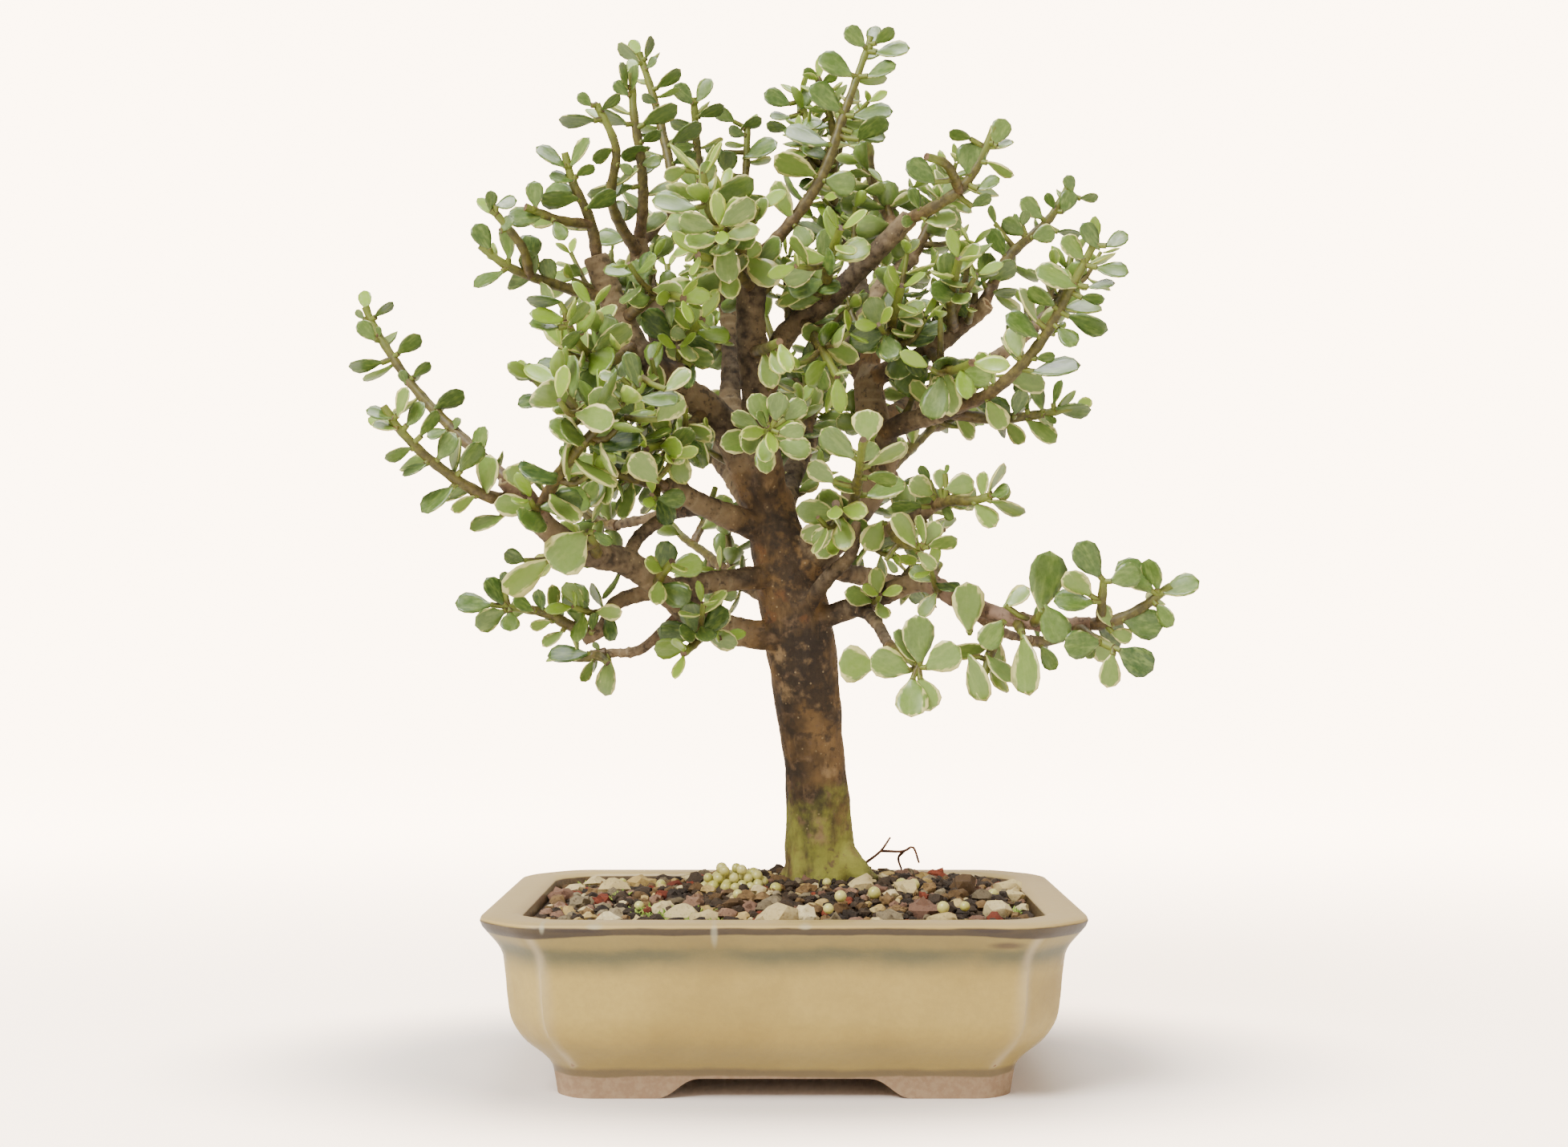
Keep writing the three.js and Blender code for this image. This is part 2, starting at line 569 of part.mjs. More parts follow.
function soil() {
  const wall = INNER_WALL.filter(({ z }) => z < SOIL_EDGE).reverse();
  const levels = wall.map(({ z, inset }) => outline(inset + GAP + 0.05, z));
  levels[0].forEach((point) => (point.z += GAP));
  const edge = outline(RIM_WIDTH + 1.6, SOIL_EDGE);
  const surface = [1, 0.7, 0.4].map((share) =>
    edge.map((point) => {
      const x = TRUNK_FOOT.x + (point.x - TRUNK_FOOT.x) * share;
      const y = TRUNK_FOOT.y + (point.y - TRUNK_FOOT.y) * share;
      return new THREE.Vector3(x, y, share === 1 ? SOIL_EDGE : soilHeight(x, y));
    }),
  );
  const block = joined([solid(skin([...levels, ...surface])), ...stones().map(solid)]);
  return largestBody(block.subtract(wood(GAP + 0.1)));
}

// A leaf as a thick blade: its root on the stem, its outline, a raised middle above and flat below
function leafPoints({ root, along, across, length }) {
  const face = new THREE.Vector3().crossVectors(along, across);
  const at = (share, half, rise) =>
    root
      .clone()
      .addScaledVector(along, share * length)
      .addScaledVector(across, half * length)
      .addScaledVector(face, rise * length);
  const right = LEAF_SIDE.map(([share, half]) => at(share, half, 0));
  const left = LEAF_SIDE.map(([share, half]) => at(share, -half, 0)).reverse();
  return { edge: [at(0, 0, 0), ...right, at(1, 0, 0), ...left], top: at(LEAF_MIDDLE, 0, LEAF_THICKNESS) };
}

function leafSolid(leaf) {
  const { edge, top } = leafPoints(leaf);
  const positions = [...edge, top].flatMap((point) => [point.x, point.y, point.z]);
  const index = [];
  edge.forEach((_, i) => index.push((i + 1) % edge.length, i, edge.length));
  for (let i = 1; i + 1 < edge.length; i++) index.push(0, i, i + 1);
  const geometry = new THREE.BufferGeometry();
  geometry.setAttribute("position", new THREE.Float32BufferAttribute(positions, 3));
  geometry.setIndex(index);
  return solid(geometry);
}

// Points spread over a leaf, to tell whether it is clear of another
const LEAF_GRID = [];
for (const share of [0.14, ROOT_SHARE, 0.46, 0.62, 0.78, 0.93]) {
  const half = Math.min(0.36, share * 0.7, (1.06 - share) * 1.5);
  for (const side of [-1, -0.5, 0, 0.5, 1]) LEAF_GRID.push([share, half * side]);
}

const ROOT_POINTS = LEAF_GRID.filter(([share]) => share <= ROOT_SHARE).length;

function gridOf(leaf) {
  return LEAF_GRID.map(([share, half]) =>
    leaf.root.clone().addScaledVector(leaf.along, share * leaf.length).addScaledVector(leaf.across, half * leaf.length),
  );
}

function touchesLeaf(points, other) {
  const reach = other.length * 1.2 + 4;
  return points.some((point) => {
    const away = point.clone().sub(other.root);
    if (away.length() > reach) return false;
    const share = away.dot(other.along) / other.length;
    const half = Math.abs(away.dot(other.across)) / other.length;
    const rise = away.dot(other.face);
    const slack = LEAF_CLEARANCE / other.length;
    if (share < -slack || share > 1 + slack) return false;
    const edge = Math.min(0.38, 0.1 + share * 0.6, (1.06 - share) * 1.5) + slack;
    const thick = LEAF_THICKNESS * other.length * (1 - 0.5 * (half / 0.38) ** 2) + LEAF_CLEARANCE;
    return half < edge && rise > -LEAF_CLEARANCE && rise < thick;
  });
}

function touchesStem(points, path, clearance) {
  const near = new THREE.Vector3();
  for (let i = 0; i + 1 < path.length; i++) {
    const line = new THREE.Line3(path[i].middle, path[i + 1].middle);
    const reach = Math.max(path[i].radius, path[i + 1].radius) + clearance;
    for (const point of points) {
      line.closestPointToPoint(point, true, near);
      if (near.distanceTo(point) < reach) return true;
    }
  }
  return false;
}

// How far a point lies outside a stem's surface, its flat ends included
function outside(point, path) {
  let nearest = Infinity;
  for (let i = 0; i + 1 < path.length; i++) {
    const from = path[i].middle;
    const run = path[i + 1].middle.clone().sub(from);
    const long = run.length();
    run.divideScalar(long);
    const away = point.clone().sub(from);
    const place = away.dot(run);
    const radius = THREE.MathUtils.lerp(path[i].radius, path[i + 1].radius, THREE.MathUtils.clamp(place / long, 0, 1));
    const beside = away.addScaledVector(run, -place).length() - radius;
    nearest = Math.min(nearest, Math.max(beside, -place, place - long));
  }
  return nearest;
}

function ringAt(path, place) {
  const start = Math.min(Math.floor(place), path.length - 2);
  const [before, after, share] = [path[start], path[start + 1], place - start];
  return {
    middle: before.middle.clone().lerp(after.middle, share),
    ahead: after.middle.clone().sub(before.middle).normalize(),
    side: before.side.clone().lerp(after.side, share).normalize(),
    radius: THREE.MathUtils.lerp(before.radius, after.radius, share),
  };
}

// A shoot's stem starts just outside the wood that carries it
function trimmed(path, wood) {
  for (let place = 0; place < path.length - 1.3; place += 0.01) {
    const ring = ringAt(path, place);
    const up = new THREE.Vector3().crossVectors(ring.ahead, ring.side);
    const rim = [0.25, 0.75, 1.25, 1.75].map((turn) =>
      ring.middle
        .clone()
        .addScaledVector(ring.side, ring.radius * Math.cos(turn * Math.PI))
        .addScaledVector(up, ring.radius * Math.sin(turn * Math.PI)),
    );
    if (rim.every((point) => wood.every((carrier) => outside(point, carrier) > SEAT_GAP))) {
      return [ring, ...path.slice(Math.floor(place) + 1)];
    }
  }
  throw new Error("a shoot never leaves the wood");
}

function lengthOf(path) {
  return path.slice(1).reduce((sum, ring, i) => sum + ring.middle.distanceTo(path[i].middle), 0);
}

// Pairs of leaves up a stem, each pair a quarter turn from the last, smaller and steeper towards the tip
function leavesOn(path, { leaf, open = false }, random, bare) {
  const length = lengthOf(path);
  const pairs = Math.max(1, Math.round((length - bare) / (leaf * LEAF_SPACING)));
  const leaves = [];
  for (let pair = 0; pair <= pairs; pair++) {
    const reached = Math.min(0.995, (bare + ((length - bare) * pair) / pairs) / length);
    const { middle, ahead, side } = ringAt(path, reached * (path.length - 1));
    side.addScaledVector(ahead, -side.dot(ahead)).normalize();
    side.applyAxisAngle(ahead, (pair * Math.PI) / 2 + (random() - 0.5) * 0.3);
    const youth = pair / Math.max(1, pairs);
    const lean = open ? 1.25 - 0.25 * youth : 1.12 - 0.5 * youth ** 2;
    const size = leaf * (open ? 1 - 0.25 * youth : 1 - 0.42 * youth ** 1.6);
    for (const turn of [1, -1]) {
      const out = side.clone().multiplyScalar(turn);
      const tilt = lean + (random() - 0.5) * 0.35;
      const along = ahead.clone().multiplyScalar(Math.cos(tilt)).addScaledVector(out, Math.sin(tilt));
      const across = new THREE.Vector3().crossVectors(ahead, out).normalize();
      across.applyAxisAngle(along, (random() - 0.5) * 0.5);
      const root = middle.clone().addScaledVector(out, ROOT_OUT);
      leaves.push(withFace({ root, along, across, length: size * (0.88 + 0.24 * random()) }));
    }
  }
  return leaves;
}

function withFace(leaf) {
  return { ...leaf, face: new THREE.Vector3().crossVectors(leaf.along, leaf.across) };
}

// Where a leaf would meet another shoot, it turns aside a little; if nothing helps, it isn't grown
const TURNS = [0, 0.45, -0.45, 0.9, -0.9];

function settle(leaf, meets) {
  for (const turn of TURNS) {
    for (const lift of [0, 0.4, -0.4]) {
      const along = leaf.along.clone().applyAxisAngle(leaf.face, turn).applyAxisAngle(leaf.across, lift);
      const across = leaf.across.clone().applyAxisAngle(leaf.face, turn);
      const tried = withFace({ ...leaf, along, across: across.addScaledVector(along, -across.dot(along)).normalize() });
      if (!meets(gridOf(tried), tried)) return tried;
    }
  }
  return null;
}

function growShoots() {
  const woody = [trunkPath, ...branchPaths];
  const shoots = Object.entries(SHOOTS).map(([name, made], i) => {
    const radii = made.radii ?? STEM_RADII;
    const random = randomFrom(101 + 37 * i);
    const spin = random() * Math.PI;
    const main = stemPath(routeOf(made.route), radii, SHOOT_STEP, 1, spin);
    const thin = [radii[0] * 0.8, radii[1]];
    const twigs = (made.twigs ?? []).map((route, k) => stemPath(routeOf(route), thin, SHOOT_STEP, 1, spin + k));
    return { name, made, random, paths: [trimmed(main, woody), ...twigs], leaves: [] };
  });
  for (const shoot of shoots) {
    const others = shoots.filter((other) => other !== shoot);
    const meets = (points, leaf) =>
      shoot.leaves.some((grown) => touchesLeaf(points.slice(ROOT_POINTS), grown)) ||
      woody.some((path) => touchesStem(points, path, WOOD_CLEARANCE)) ||
      others.some((other) => other.paths.some((path) => touchesStem(points, path, WOOD_CLEARANCE))) ||
      others.some((other) =>
        other.leaves.some((grown) => touchesLeaf(points, grown) || touchesLeaf(gridOf(grown), leaf)),
      );
    shoot.paths.forEach((path, i) => {
      const wanted = leavesOn(path, shoot.made, shoot.random, i ? BARE_TWIG : BARE_START);
      for (const leaf of wanted) {
        const grown = settle(leaf, meets);
        if (grown) shoot.leaves.push(grown);
      }
    });
  }
  return shoots;
}

const COLOURS = {
  glaze: { color: 0xc4b07e, roughness: 0.3 },
  soil: { color: 0x5a4636, roughness: 0.95 },
  bark: { color: 0x7d6a58, roughness: 0.85 },
  leaf: { color: 0x86a860, roughness: 0.45 },
};

function finish({ color, roughness }) {
  return new THREE.MeshStandardMaterial({ color, roughness, metalness: 0, flatShading: true });
}

function named(name, made, colours) {
  const mesh = new THREE.Mesh(geometryOf(made), finish(colours));
  mesh.name = name;
  return mesh;
}

const tree = new THREE.Group();
tree.add(named("pot", pot(), COLOURS.glaze));
tree.add(named("soil", soil(), COLOURS.soil));
tree.add(named("trunk", largestBody(wood()), COLOURS.bark));
for (const shoot of growShoots()) {
  const stems = shoot.paths.map((path) => tube(path, STEM_SIDES));
  const grown = joined([...stems, ...shoot.leaves.map(leafSolid)]);
  tree.add(named("shoot_" + shoot.name, largestBody(grown), COLOURS.leaf));
}

export default tree;
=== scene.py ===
import math
from random import Random

import bpy
import bmesh
import numpy as np
from mathutils import Matrix, Vector, noise


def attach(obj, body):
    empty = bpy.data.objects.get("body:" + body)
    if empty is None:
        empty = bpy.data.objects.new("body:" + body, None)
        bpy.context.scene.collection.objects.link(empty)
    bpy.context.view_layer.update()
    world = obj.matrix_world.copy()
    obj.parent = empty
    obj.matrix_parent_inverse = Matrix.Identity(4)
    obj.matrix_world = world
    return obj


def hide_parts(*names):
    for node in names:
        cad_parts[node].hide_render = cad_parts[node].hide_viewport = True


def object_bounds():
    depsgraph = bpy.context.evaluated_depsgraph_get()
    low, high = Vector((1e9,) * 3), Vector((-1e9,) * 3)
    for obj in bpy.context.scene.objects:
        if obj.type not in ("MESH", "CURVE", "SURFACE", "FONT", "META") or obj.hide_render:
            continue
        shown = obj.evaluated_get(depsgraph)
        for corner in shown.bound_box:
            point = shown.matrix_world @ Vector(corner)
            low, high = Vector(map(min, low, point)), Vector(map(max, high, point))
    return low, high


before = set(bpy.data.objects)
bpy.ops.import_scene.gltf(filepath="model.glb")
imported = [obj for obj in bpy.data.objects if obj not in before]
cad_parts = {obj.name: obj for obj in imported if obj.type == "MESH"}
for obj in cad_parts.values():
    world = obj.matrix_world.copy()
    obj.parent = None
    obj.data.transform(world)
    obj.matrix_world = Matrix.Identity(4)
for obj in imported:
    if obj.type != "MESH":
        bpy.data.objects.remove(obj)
cad_low, cad_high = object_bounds()
bpy.ops.object.select_all(action="DESELECT")

MM = 0.001

# The eye: where it stands, and the pixel of the picture that it looks at straight on
PICTURE = (1955, 1430)
FOCAL_PIXELS = 2500
EYE_PIXEL = (977.5, 800)
EYE_DISTANCE = 588 * MM
EYE_HEIGHT = 124 * MM
POT_MIDDLE = Vector((3.5 * MM, -5 * MM, 0))
EYE = Vector((POT_MIDDLE.x, POT_MIDDLE.y - EYE_DISTANCE, EYE_HEIGHT))

# Pot, as in the solids
POT_WIDTH = 165 * MM
POT_DEPTH = 128 * MM
SOIL_EDGE = 46.5 * MM
SOIL_MOUND = 6.5 * MM
MOUND_REACH = (70 * MM, 56 * MM)

# The trunk and its woody branches: pixels of the route with its depth in millimetres, and radii
TRUNK = {
    "route": [
        (1023, 1128, 14), (1024, 1085, 14), (1022, 1060, 14), (1020, 1000, 13), (1010, 900, 12),
        (1002, 830, 11), (995, 780, 10), (978, 703, 9), (965, 655, 8), (960, 612, 8),
    ],
    "radii": [12, 11, 9.8, 9.2, 9.7, 10.4, 10.6, 10, 8.4, 6.4],
}

BRANCHES = {
    "left_leader": {"route": [(948, 625, 8), (900, 526, 0), (850, 485, -8)], "radii": [5.4, 4.4]},
    "left_cut": {
        "route": [(858, 492, -6), (797, 440, -12), (775, 400, -14), (742, 318, -18)],
        "radii": [4.2, 3.7],
    },
    "left_inner": {"route": [(848, 485, -8), (815, 395, 2), (795, 300, 12)], "radii": [3.8, 2.9]},
    "dark_middle": {
        "route": [(945, 600, 12), (912, 520, 24), (912, 430, 36), (902, 348, 44)],
        "radii": [4, 2.6],
    },
    "middle_cut": {
        "route": [(958, 625, 6), (945, 494, -6), (938, 436, -10), (936, 392, -12), (942, 318, -14)],
        "radii": [5.6, 3.7],
    },
    "middle_right": {
        "route": [(948, 505, -6), (977, 421, -6), (1025, 380, -12), (1064, 344, -18), (1135, 270, -26)],
        "radii": [3.6, 2.8],
    },
    "right_leader": {
        "route": [(990, 725, 8), (1028, 678, 4), (1060, 642, 3), (1100, 571, 5), (1088, 520, 8),
                  (1081, 470, 10)],
        "radii": [6.4, 4.2],
    },
    "right_cut": {
        "route": [(1081, 474, 10), (1159, 438, -2), (1195, 409, -8), (1233, 378, -14)],
        "radii": [3.2, 2.4],
    },
    "right_back": {
        "route": [(1081, 474, 10), (1091, 402, 18), (1098, 358, 26), (1140, 320, 34)],
        "radii": [3.2, 2.2],
    },
    "hub_left": {
        "route": [(1082, 480, 12), (1062, 440, 24), (1078, 390, 42), (1070, 340, 56)],
        "radii": [3.2, 2.2],
    },
    "right_low": {
        "route": [(1092, 546, 6), (1122, 530, 0), (1159, 518, -6), (1195, 508, -12)],
        "radii": [3.4, 2.6],
    },
    "right_far": {
        "route": [(1090, 530, 8), (1140, 500, 24), (1243, 445, 40), (1290, 408, 48)],
        "radii": [3, 2],
    },
    "left_top": {"route": [(950, 660, 6), (888, 635, -4), (829, 605, -14)], "radii": [4.4, 2.6]},
    "left_stub": {"route": [(856, 620, -9), (840, 592, -10)], "radii": [2.8, 2.4]},
    "left_ringed": {
        "route": [(850, 615, -10), (834, 640, -14), (797, 669, -20), (784, 692, -24)],
        "radii": [2, 1.8],
    },
    "left_dark": {
        "route": [(880, 634, -3), (838, 640, 8), (800, 648, 16), (760, 656, 24)],
        "radii": [2, 1.4],
    },
    "left_middle": {
        "route": [(965, 718, 5), (888, 726, -6), (808, 739, -14), (765, 755, -18), (752, 782, -18),
                  (727, 798, -20)],
        "radii": [3.8, 1.8],
    },
    "left_low": {
        "route": [
            (975, 796, 6), (896, 782, 0), (855, 758, -10), (818, 726, -18),
            (776, 699, -26), (738, 691, -34), (690, 665, -42), (632, 594, -52),
        ],
        "radii": [4.4, 3.2],
    },
    "left_low_twig": {
        "route": [(852, 762, -9), (821, 793, -4), (794, 812, 0), (748, 814, 4)],
        "radii": [2, 1.3],
    },
    "right_arm": {
        "route": [(1000, 780, 8), (1066, 756, 0), (1149, 726, -14), (1199, 749, -26), (1285, 776, -36),
                  (1362, 778, -42)],
        "radii": [3.6, 1.9],
    },
    "right_arm_twig": {"route": [(1199, 749, -26), (1246, 786, -16), (1290, 799, -8)], "radii": [1.8, 1.3]},
    "right_drop": {"route": [(1064, 757, 0), (1085, 768, -10), (1113, 812, -30)], "radii": [2.2, 1.6]},
    "right_ringed": {
        "route": [(1000, 765, 4), (1033, 720, -6), (1060, 693, -10), (1068, 650, -16)],
        "radii": [2.6, 1.6],
    },
    "right_behind": {
        "route": [(1010, 705, 12), (1086, 720, 28), (1116, 726, 36), (1166, 716, 48)],
        "radii": [3.2, 1.8],
    },
    "right_mid": {
        "route": [(1045, 665, 4), (1098, 662, -10), (1150, 641, -20), (1171, 628, -24)],
        "radii": [2.6, 1.6],
    },
    "back_left": {"route": [(962, 660, 12), (920, 600, 34), (882, 550, 54)], "radii": [4.6, 2.8]},
    "back_middle": {"route": [(966, 660, 14), (985, 600, 38), (1010, 545, 56)], "radii": [4.6, 2.8]},
    "back_right": {"route": [(1005, 712, 14), (1040, 655, 36), (1085, 610, 54)], "radii": [4.2, 2.6]},
    "back_low": {"route": [(990, 770, 14), (950, 740, 34), (905, 715, 52)], "radii": [3.4, 2.2]},
}

ROOTS = {
    "root_right": {"route": [(1026, 1040, 13), (1056, 1074, 9), (1086, 1104, 6)], "radii": [6, 3.4]},
    "root_left": {"route": [(1018, 1048, 14), (996, 1080, 15), (976, 1106, 18)], "radii": [5.4, 3.2]},
    "root_back": {"route": [(1024, 1048, 16), (1028, 1066, 26), (1036, 1080, 36)], "radii": [5, 3]},
}

# Leafy shoots: the stem's route from the wood to its tip, its largest leaves' length, and its side twigs
SHOOTS = {
    "apex": {
        "route": [(940, 326, -14), (985, 279, -20), (1024, 221, -24), (1051, 146, -24), (1075, 78, -22),
                  (1086, 46, -22)],
        "leaf": 11,
        "radii": [2, 0.9],
    },
    "top_left": {"route": [(796, 306, 12), (802, 250, 6), (799, 199, 2), (790, 140, 0), (788, 92, 0)],
                 "leaf": 10},
    "top_left_twig": {"route": [(798, 322, 10), (762, 250, -8), (768, 185, -14), (744, 130, -16)],
                      "leaf": 8.5},
    "top_left_back": {
        "route": [(797, 306, 13), (838, 250, 24), (826, 165, 30), (812, 112, 32), (797, 66, 32)],
        "leaf": 8.5,
    },
    "left_crown": {
        "route": [(745, 324, -18), (736, 275, -24), (713, 224, -30), (704, 190, -32)],
        "leaf": 9,
        "twigs": [[(736, 279, -24), (700, 275, -30), (655, 258, -36)]],
    },
    "left_upper": {
        "route": [(768, 375, -15), (699, 357, -24), (633, 332, -32), (598, 306, -34)],
        "leaf": 9.5,
        "twigs": [[(660, 344, -29), (652, 310, -36), (620, 268, -40)]],
    },
    "left_near": {"route": [(790, 430, -13), (752, 452, -38), (722, 430, -52), (706, 398, -58)], "leaf": 12},
    "left_side": {
        "route": [(856, 492, -8), (790, 508, -16), (733, 520, -24), (699, 500, -28), (662, 470, -30)],
        "leaf": 9.5,
    },
    "pink": {
        "route": [(668, 642, -46), (705, 580, -62), (745, 533, -72), (776, 500, -76), (800, 470, -76)],
        "leaf": 12.5,
        "radii": [1.8, 1],
        "twigs": [[(745, 533, -72), (714, 506, -78), (696, 478, -80)]],
    },
    "left_tip_low": {
        "route": [(652, 622, -48), (606, 618, -56), (541, 577, -64), (498, 535, -68), (478, 506, -70)],
        "leaf": 10.5,
    },
    "left_tip_high": {
        "route": [(642, 606, -50), (575, 545, -44), (513, 479, -40), (463, 401, -38), (456, 383, -38)],
        "leaf": 10,
    },
    "left_top_tip": {"route": [(836, 608, -13), (777, 593, -24), (735, 575, -34), (704, 562, -40)],
                     "leaf": 9.5},
    "left_middle_tip": {"route": [(736, 790, -19), (707, 778, -22), (680, 764, -25), (634, 757, -28)],
                        "leaf": 10},
    "left_front": {"route": [(744, 694, -33), (740, 676, -46), (733, 664, -52)],
                   "twigs": [[(740, 676, -46), (712, 690, -46), (688, 697, -45)]], "leaf": 14.5},
    "left_drop": {
        "route": [(756, 814, 3), (725, 820, 4), (698, 816, 6)],
        "leaf": 10,
        "twigs": [[(742, 817, 3), (752, 821, -1), (758, 827, -2)]],
    },
    "left_hang": {"route": [(880, 780, -4), (868, 800, -20), (852, 815, -30)], "leaf": 9.5},
    "left_inside": {"route": [(812, 738, -13), (826, 716, -28), (838, 700, -34)], "leaf": 9.5},
    "left_dark_tip": {"route": [(770, 655, 22), (744, 650, 30), (714, 630, 36)], "leaf": 9.5},
    "left_inner_side": {"route": [(820, 408, 0), (850, 424, -18), (876, 398, -30)], "leaf": 10},
    "left_cut_side": {"route": [(778, 398, -14), (822, 366, -34), (852, 372, -44)], "leaf": 9.5},
    "left_leader_low": {"route": [(880, 512, -4), (840, 548, -20), (806, 560, -34)], "leaf": 10.5},
    "left_back_side": {"route": [(806, 350, 8), (760, 380, 30), (720, 372, 44)], "leaf": 9},
    "middle_back": {
        "route": [(903, 354, 44), (885, 280, 48), (870, 193, 48), (865, 122, 46)],
        "leaf": 9,
        "twigs": [[(888, 290, 48), (926, 235, 58), (932, 160, 60)]],
    },
    "near_pale": {"route": [(940, 334, -14), (912, 296, -36), (884, 262, -48), (876, 216, -52)], "leaf": 12},
    "near_pale_low": {"route": [(938, 360, -13), (905, 330, -36), (870, 318, -48)], "leaf": 11},
    "apex_back": {
        "route": [(1071, 346, 56), (1042, 260, 50), (1012, 170, 44), (996, 116, 42)],
        "leaf": 9,
        "twigs": [[(1036, 245, 49), (1040, 170, 34), (1020, 98, 26)]],
    },
    "apex_right": {"route": [(1118, 288, -23), (1092, 238, -6), (1079, 200, 4), (1070, 160, 8)], "leaf": 9.5},
    "top_right": {
        "route": [(1131, 274, -26), (1165, 258, -34), (1200, 233, -38), (1222, 200, -40), (1240, 158, -42)],
        "leaf": 10,
        "twigs": [[(1196, 237, -38), (1180, 205, -50), (1155, 195, -56)]],
    },
    "right_cut_tip": {"route": [(1222, 387, -12), (1258, 320, -2), (1309, 272, 6), (1336, 226, 8)],
                      "leaf": 9.5},
    "right_long": {
        "route": [(1186, 511, -11), (1240, 486, -24), (1294, 431, -34), (1334, 362, -42), (1364, 304, -46)],
        "leaf": 11,
        "radii": [2, 1],
    },
    "right_long_low": {
        "route": [(1176, 513, -9), (1235, 522, -10), (1300, 516, -10), (1342, 506, -12)],
        "leaf": 9.5,
    },
    "right_far_tip": {"route": [(1284, 412, 47), (1322, 370, 56), (1336, 318, 60)], "leaf": 9},
    "rosette_high": {"route": [(940, 440, -10), (956, 434, -32), (972, 426, -50)], "leaf": 11, "open": True},
    "rosette_low": {"route": [(948, 545, -2), (953, 542, -26), (960, 534, -46)], "leaf": 12, "open": True},
    "front_shoot": {
        "route": [(1062, 638, 2), (1068, 612, -30), (1072, 578, -50), (1076, 548, -60)],
        "leaf": 12.5,
    },
    "front_shoot_low": {"route": [(1054, 652, 2), (1048, 640, -22), (1042, 628, -34)], "leaf": 11},
    "right_mid_tip": {"route": [(1166, 630, -23), (1186, 624, -32), (1210, 625, -38), (1236, 618, -42)],
                      "leaf": 10.5},
    "right_mid_low": {"route": [(1110, 658, -13), (1126, 678, -30), (1151, 682, -40)], "leaf": 11},
    "arm_tip": {
        "route": [(1352, 779, -41), (1385, 775, -44), (1420, 760, -46), (1460, 730, -48)],
        "leaf": 11.5,
        "twigs": [[(1372, 777, -43), (1374, 748, -48), (1376, 724, -50)]],
    },
    "arm_tip_low": {"route": [(1340, 781, -40), (1366, 797, -48), (1388, 808, -52)], "leaf": 10.5},
    "arm_leaf_high": {"route": [(1290, 776, -37), (1294, 772, -41), (1298, 764, -44)], "leaf": 14},
    "arm_leaf_near": {"route": [(1206, 752, -27), (1208, 772, -32), (1209, 788, -34)], "leaf": 13},
    "arm_leaf_low": {"route": [(1268, 775, -34), (1271, 782, -38), (1275, 790, -41)], "leaf": 13},
    "arm_twig_tip": {"route": [(1284, 799, -9), (1307, 800, -5), (1328, 794, -3)], "leaf": 9.5},
    "arm_twig_hang": {"route": [(1246, 780, -17), (1236, 812, -24), (1226, 846, -28)], "leaf": 11},
    "drop_rosette": {"route": [(1109, 806, -27), (1126, 818, -44), (1146, 829, -58)], "leaf": 14.5,
                     "open": True},
    "behind_tip": {"route": [(1158, 718, 47), (1166, 712, 51), (1172, 703, 54)], "leaf": 10},
    "right_back_tip": {"route": [(1137, 323, 33), (1164, 270, 34), (1178, 222, 36)], "leaf": 9.5},
    "right_inner": {"route": [(1126, 452, 2), (1112, 410, -20), (1124, 356, -34)], "leaf": 10},
    "right_cut_side": {"route": [(1190, 414, -7), (1186, 370, -24), (1196, 322, -34)], "leaf": 10},
    "right_cut_low": {"route": [(1160, 438, -2), (1186, 462, -30), (1212, 452, -44)], "leaf": 11.5},
    "middle_right_low": {"route": [(1002, 400, -9), (1026, 438, -30), (1044, 470, -38)], "leaf": 10.5},
    "middle_right_top": {"route": [(1030, 376, -12), (1034, 326, -36), (1048, 284, -46)], "leaf": 10},
    "back_high": {
        "route": [(1004, 556, 52), (1018, 470, 72), (1030, 400, 82), (1036, 320, 84)],
        "leaf": 9.5,
        "twigs": [
            [(1014, 500, 66), (970, 440, 82), (950, 380, 88)],
            [(1026, 430, 78), (1070, 400, 90), (1090, 356, 92)],
            [(1010, 516, 62), (1000, 556, 80), (984, 590, 88)],
        ],
    },
    "back_left_tip": {
        "route": [(888, 560, 50), (862, 480, 68), (838, 400, 78), (832, 330, 82)],
        "leaf": 9.5,
        "twigs": [
            [(870, 504, 63), (815, 470, 80), (770, 430, 86)],
            [(848, 432, 74), (868, 380, 88), (880, 340, 92)],
            [(876, 524, 58), (835, 548, 76), (798, 540, 84)],
        ],
    },
    "back_right_tip": {
        "route": [(1078, 617, 50), (1130, 565, 68), (1172, 520, 78), (1196, 460, 80)],
        "leaf": 9.5,
        "twigs": [
            [(1110, 585, 61), (1140, 630, 80), (1182, 640, 86)],
            [(1160, 535, 76), (1180, 530, 81), (1200, 520, 84)],
            [(1140, 555, 71), (1120, 500, 86), (1125, 456, 92)],
        ],
    },
    "back_low_tip": {
        "route": [(913, 719, 48), (880, 690, 66), (850, 668, 78), (822, 636, 82)],
        "leaf": 9.5,
        "twigs": [
            [(888, 697, 61), (880, 735, 78), (862, 758, 84)],
            [(864, 678, 73), (882, 640, 88), (892, 608, 92)],
        ],
    },
}
STEM_RADII = [1.8, 1.05]


def on_sight(across, down, depth):
    """The point seen at a pixel, at a depth in millimetres behind the pot's middle."""
    scale = (EYE_DISTANCE + depth * MM) / FOCAL_PIXELS
    return Vector((
        (across - EYE_PIXEL[0]) * scale + POT_MIDDLE.x,
        depth * MM + POT_MIDDLE.y,
        EYE_HEIGHT + (EYE_PIXEL[1] - down) * scale,
    ))


TRUNK_FOOT = on_sight(*TRUNK["route"][1])


def soil_height(x, y):
    across = (x - TRUNK_FOOT.x) / MOUND_REACH[0]
    back = (y - TRUNK_FOOT.y) / MOUND_REACH[1]
    return SOIL_EDGE + SOIL_MOUND * max(0, 1 - across * across - back * back)


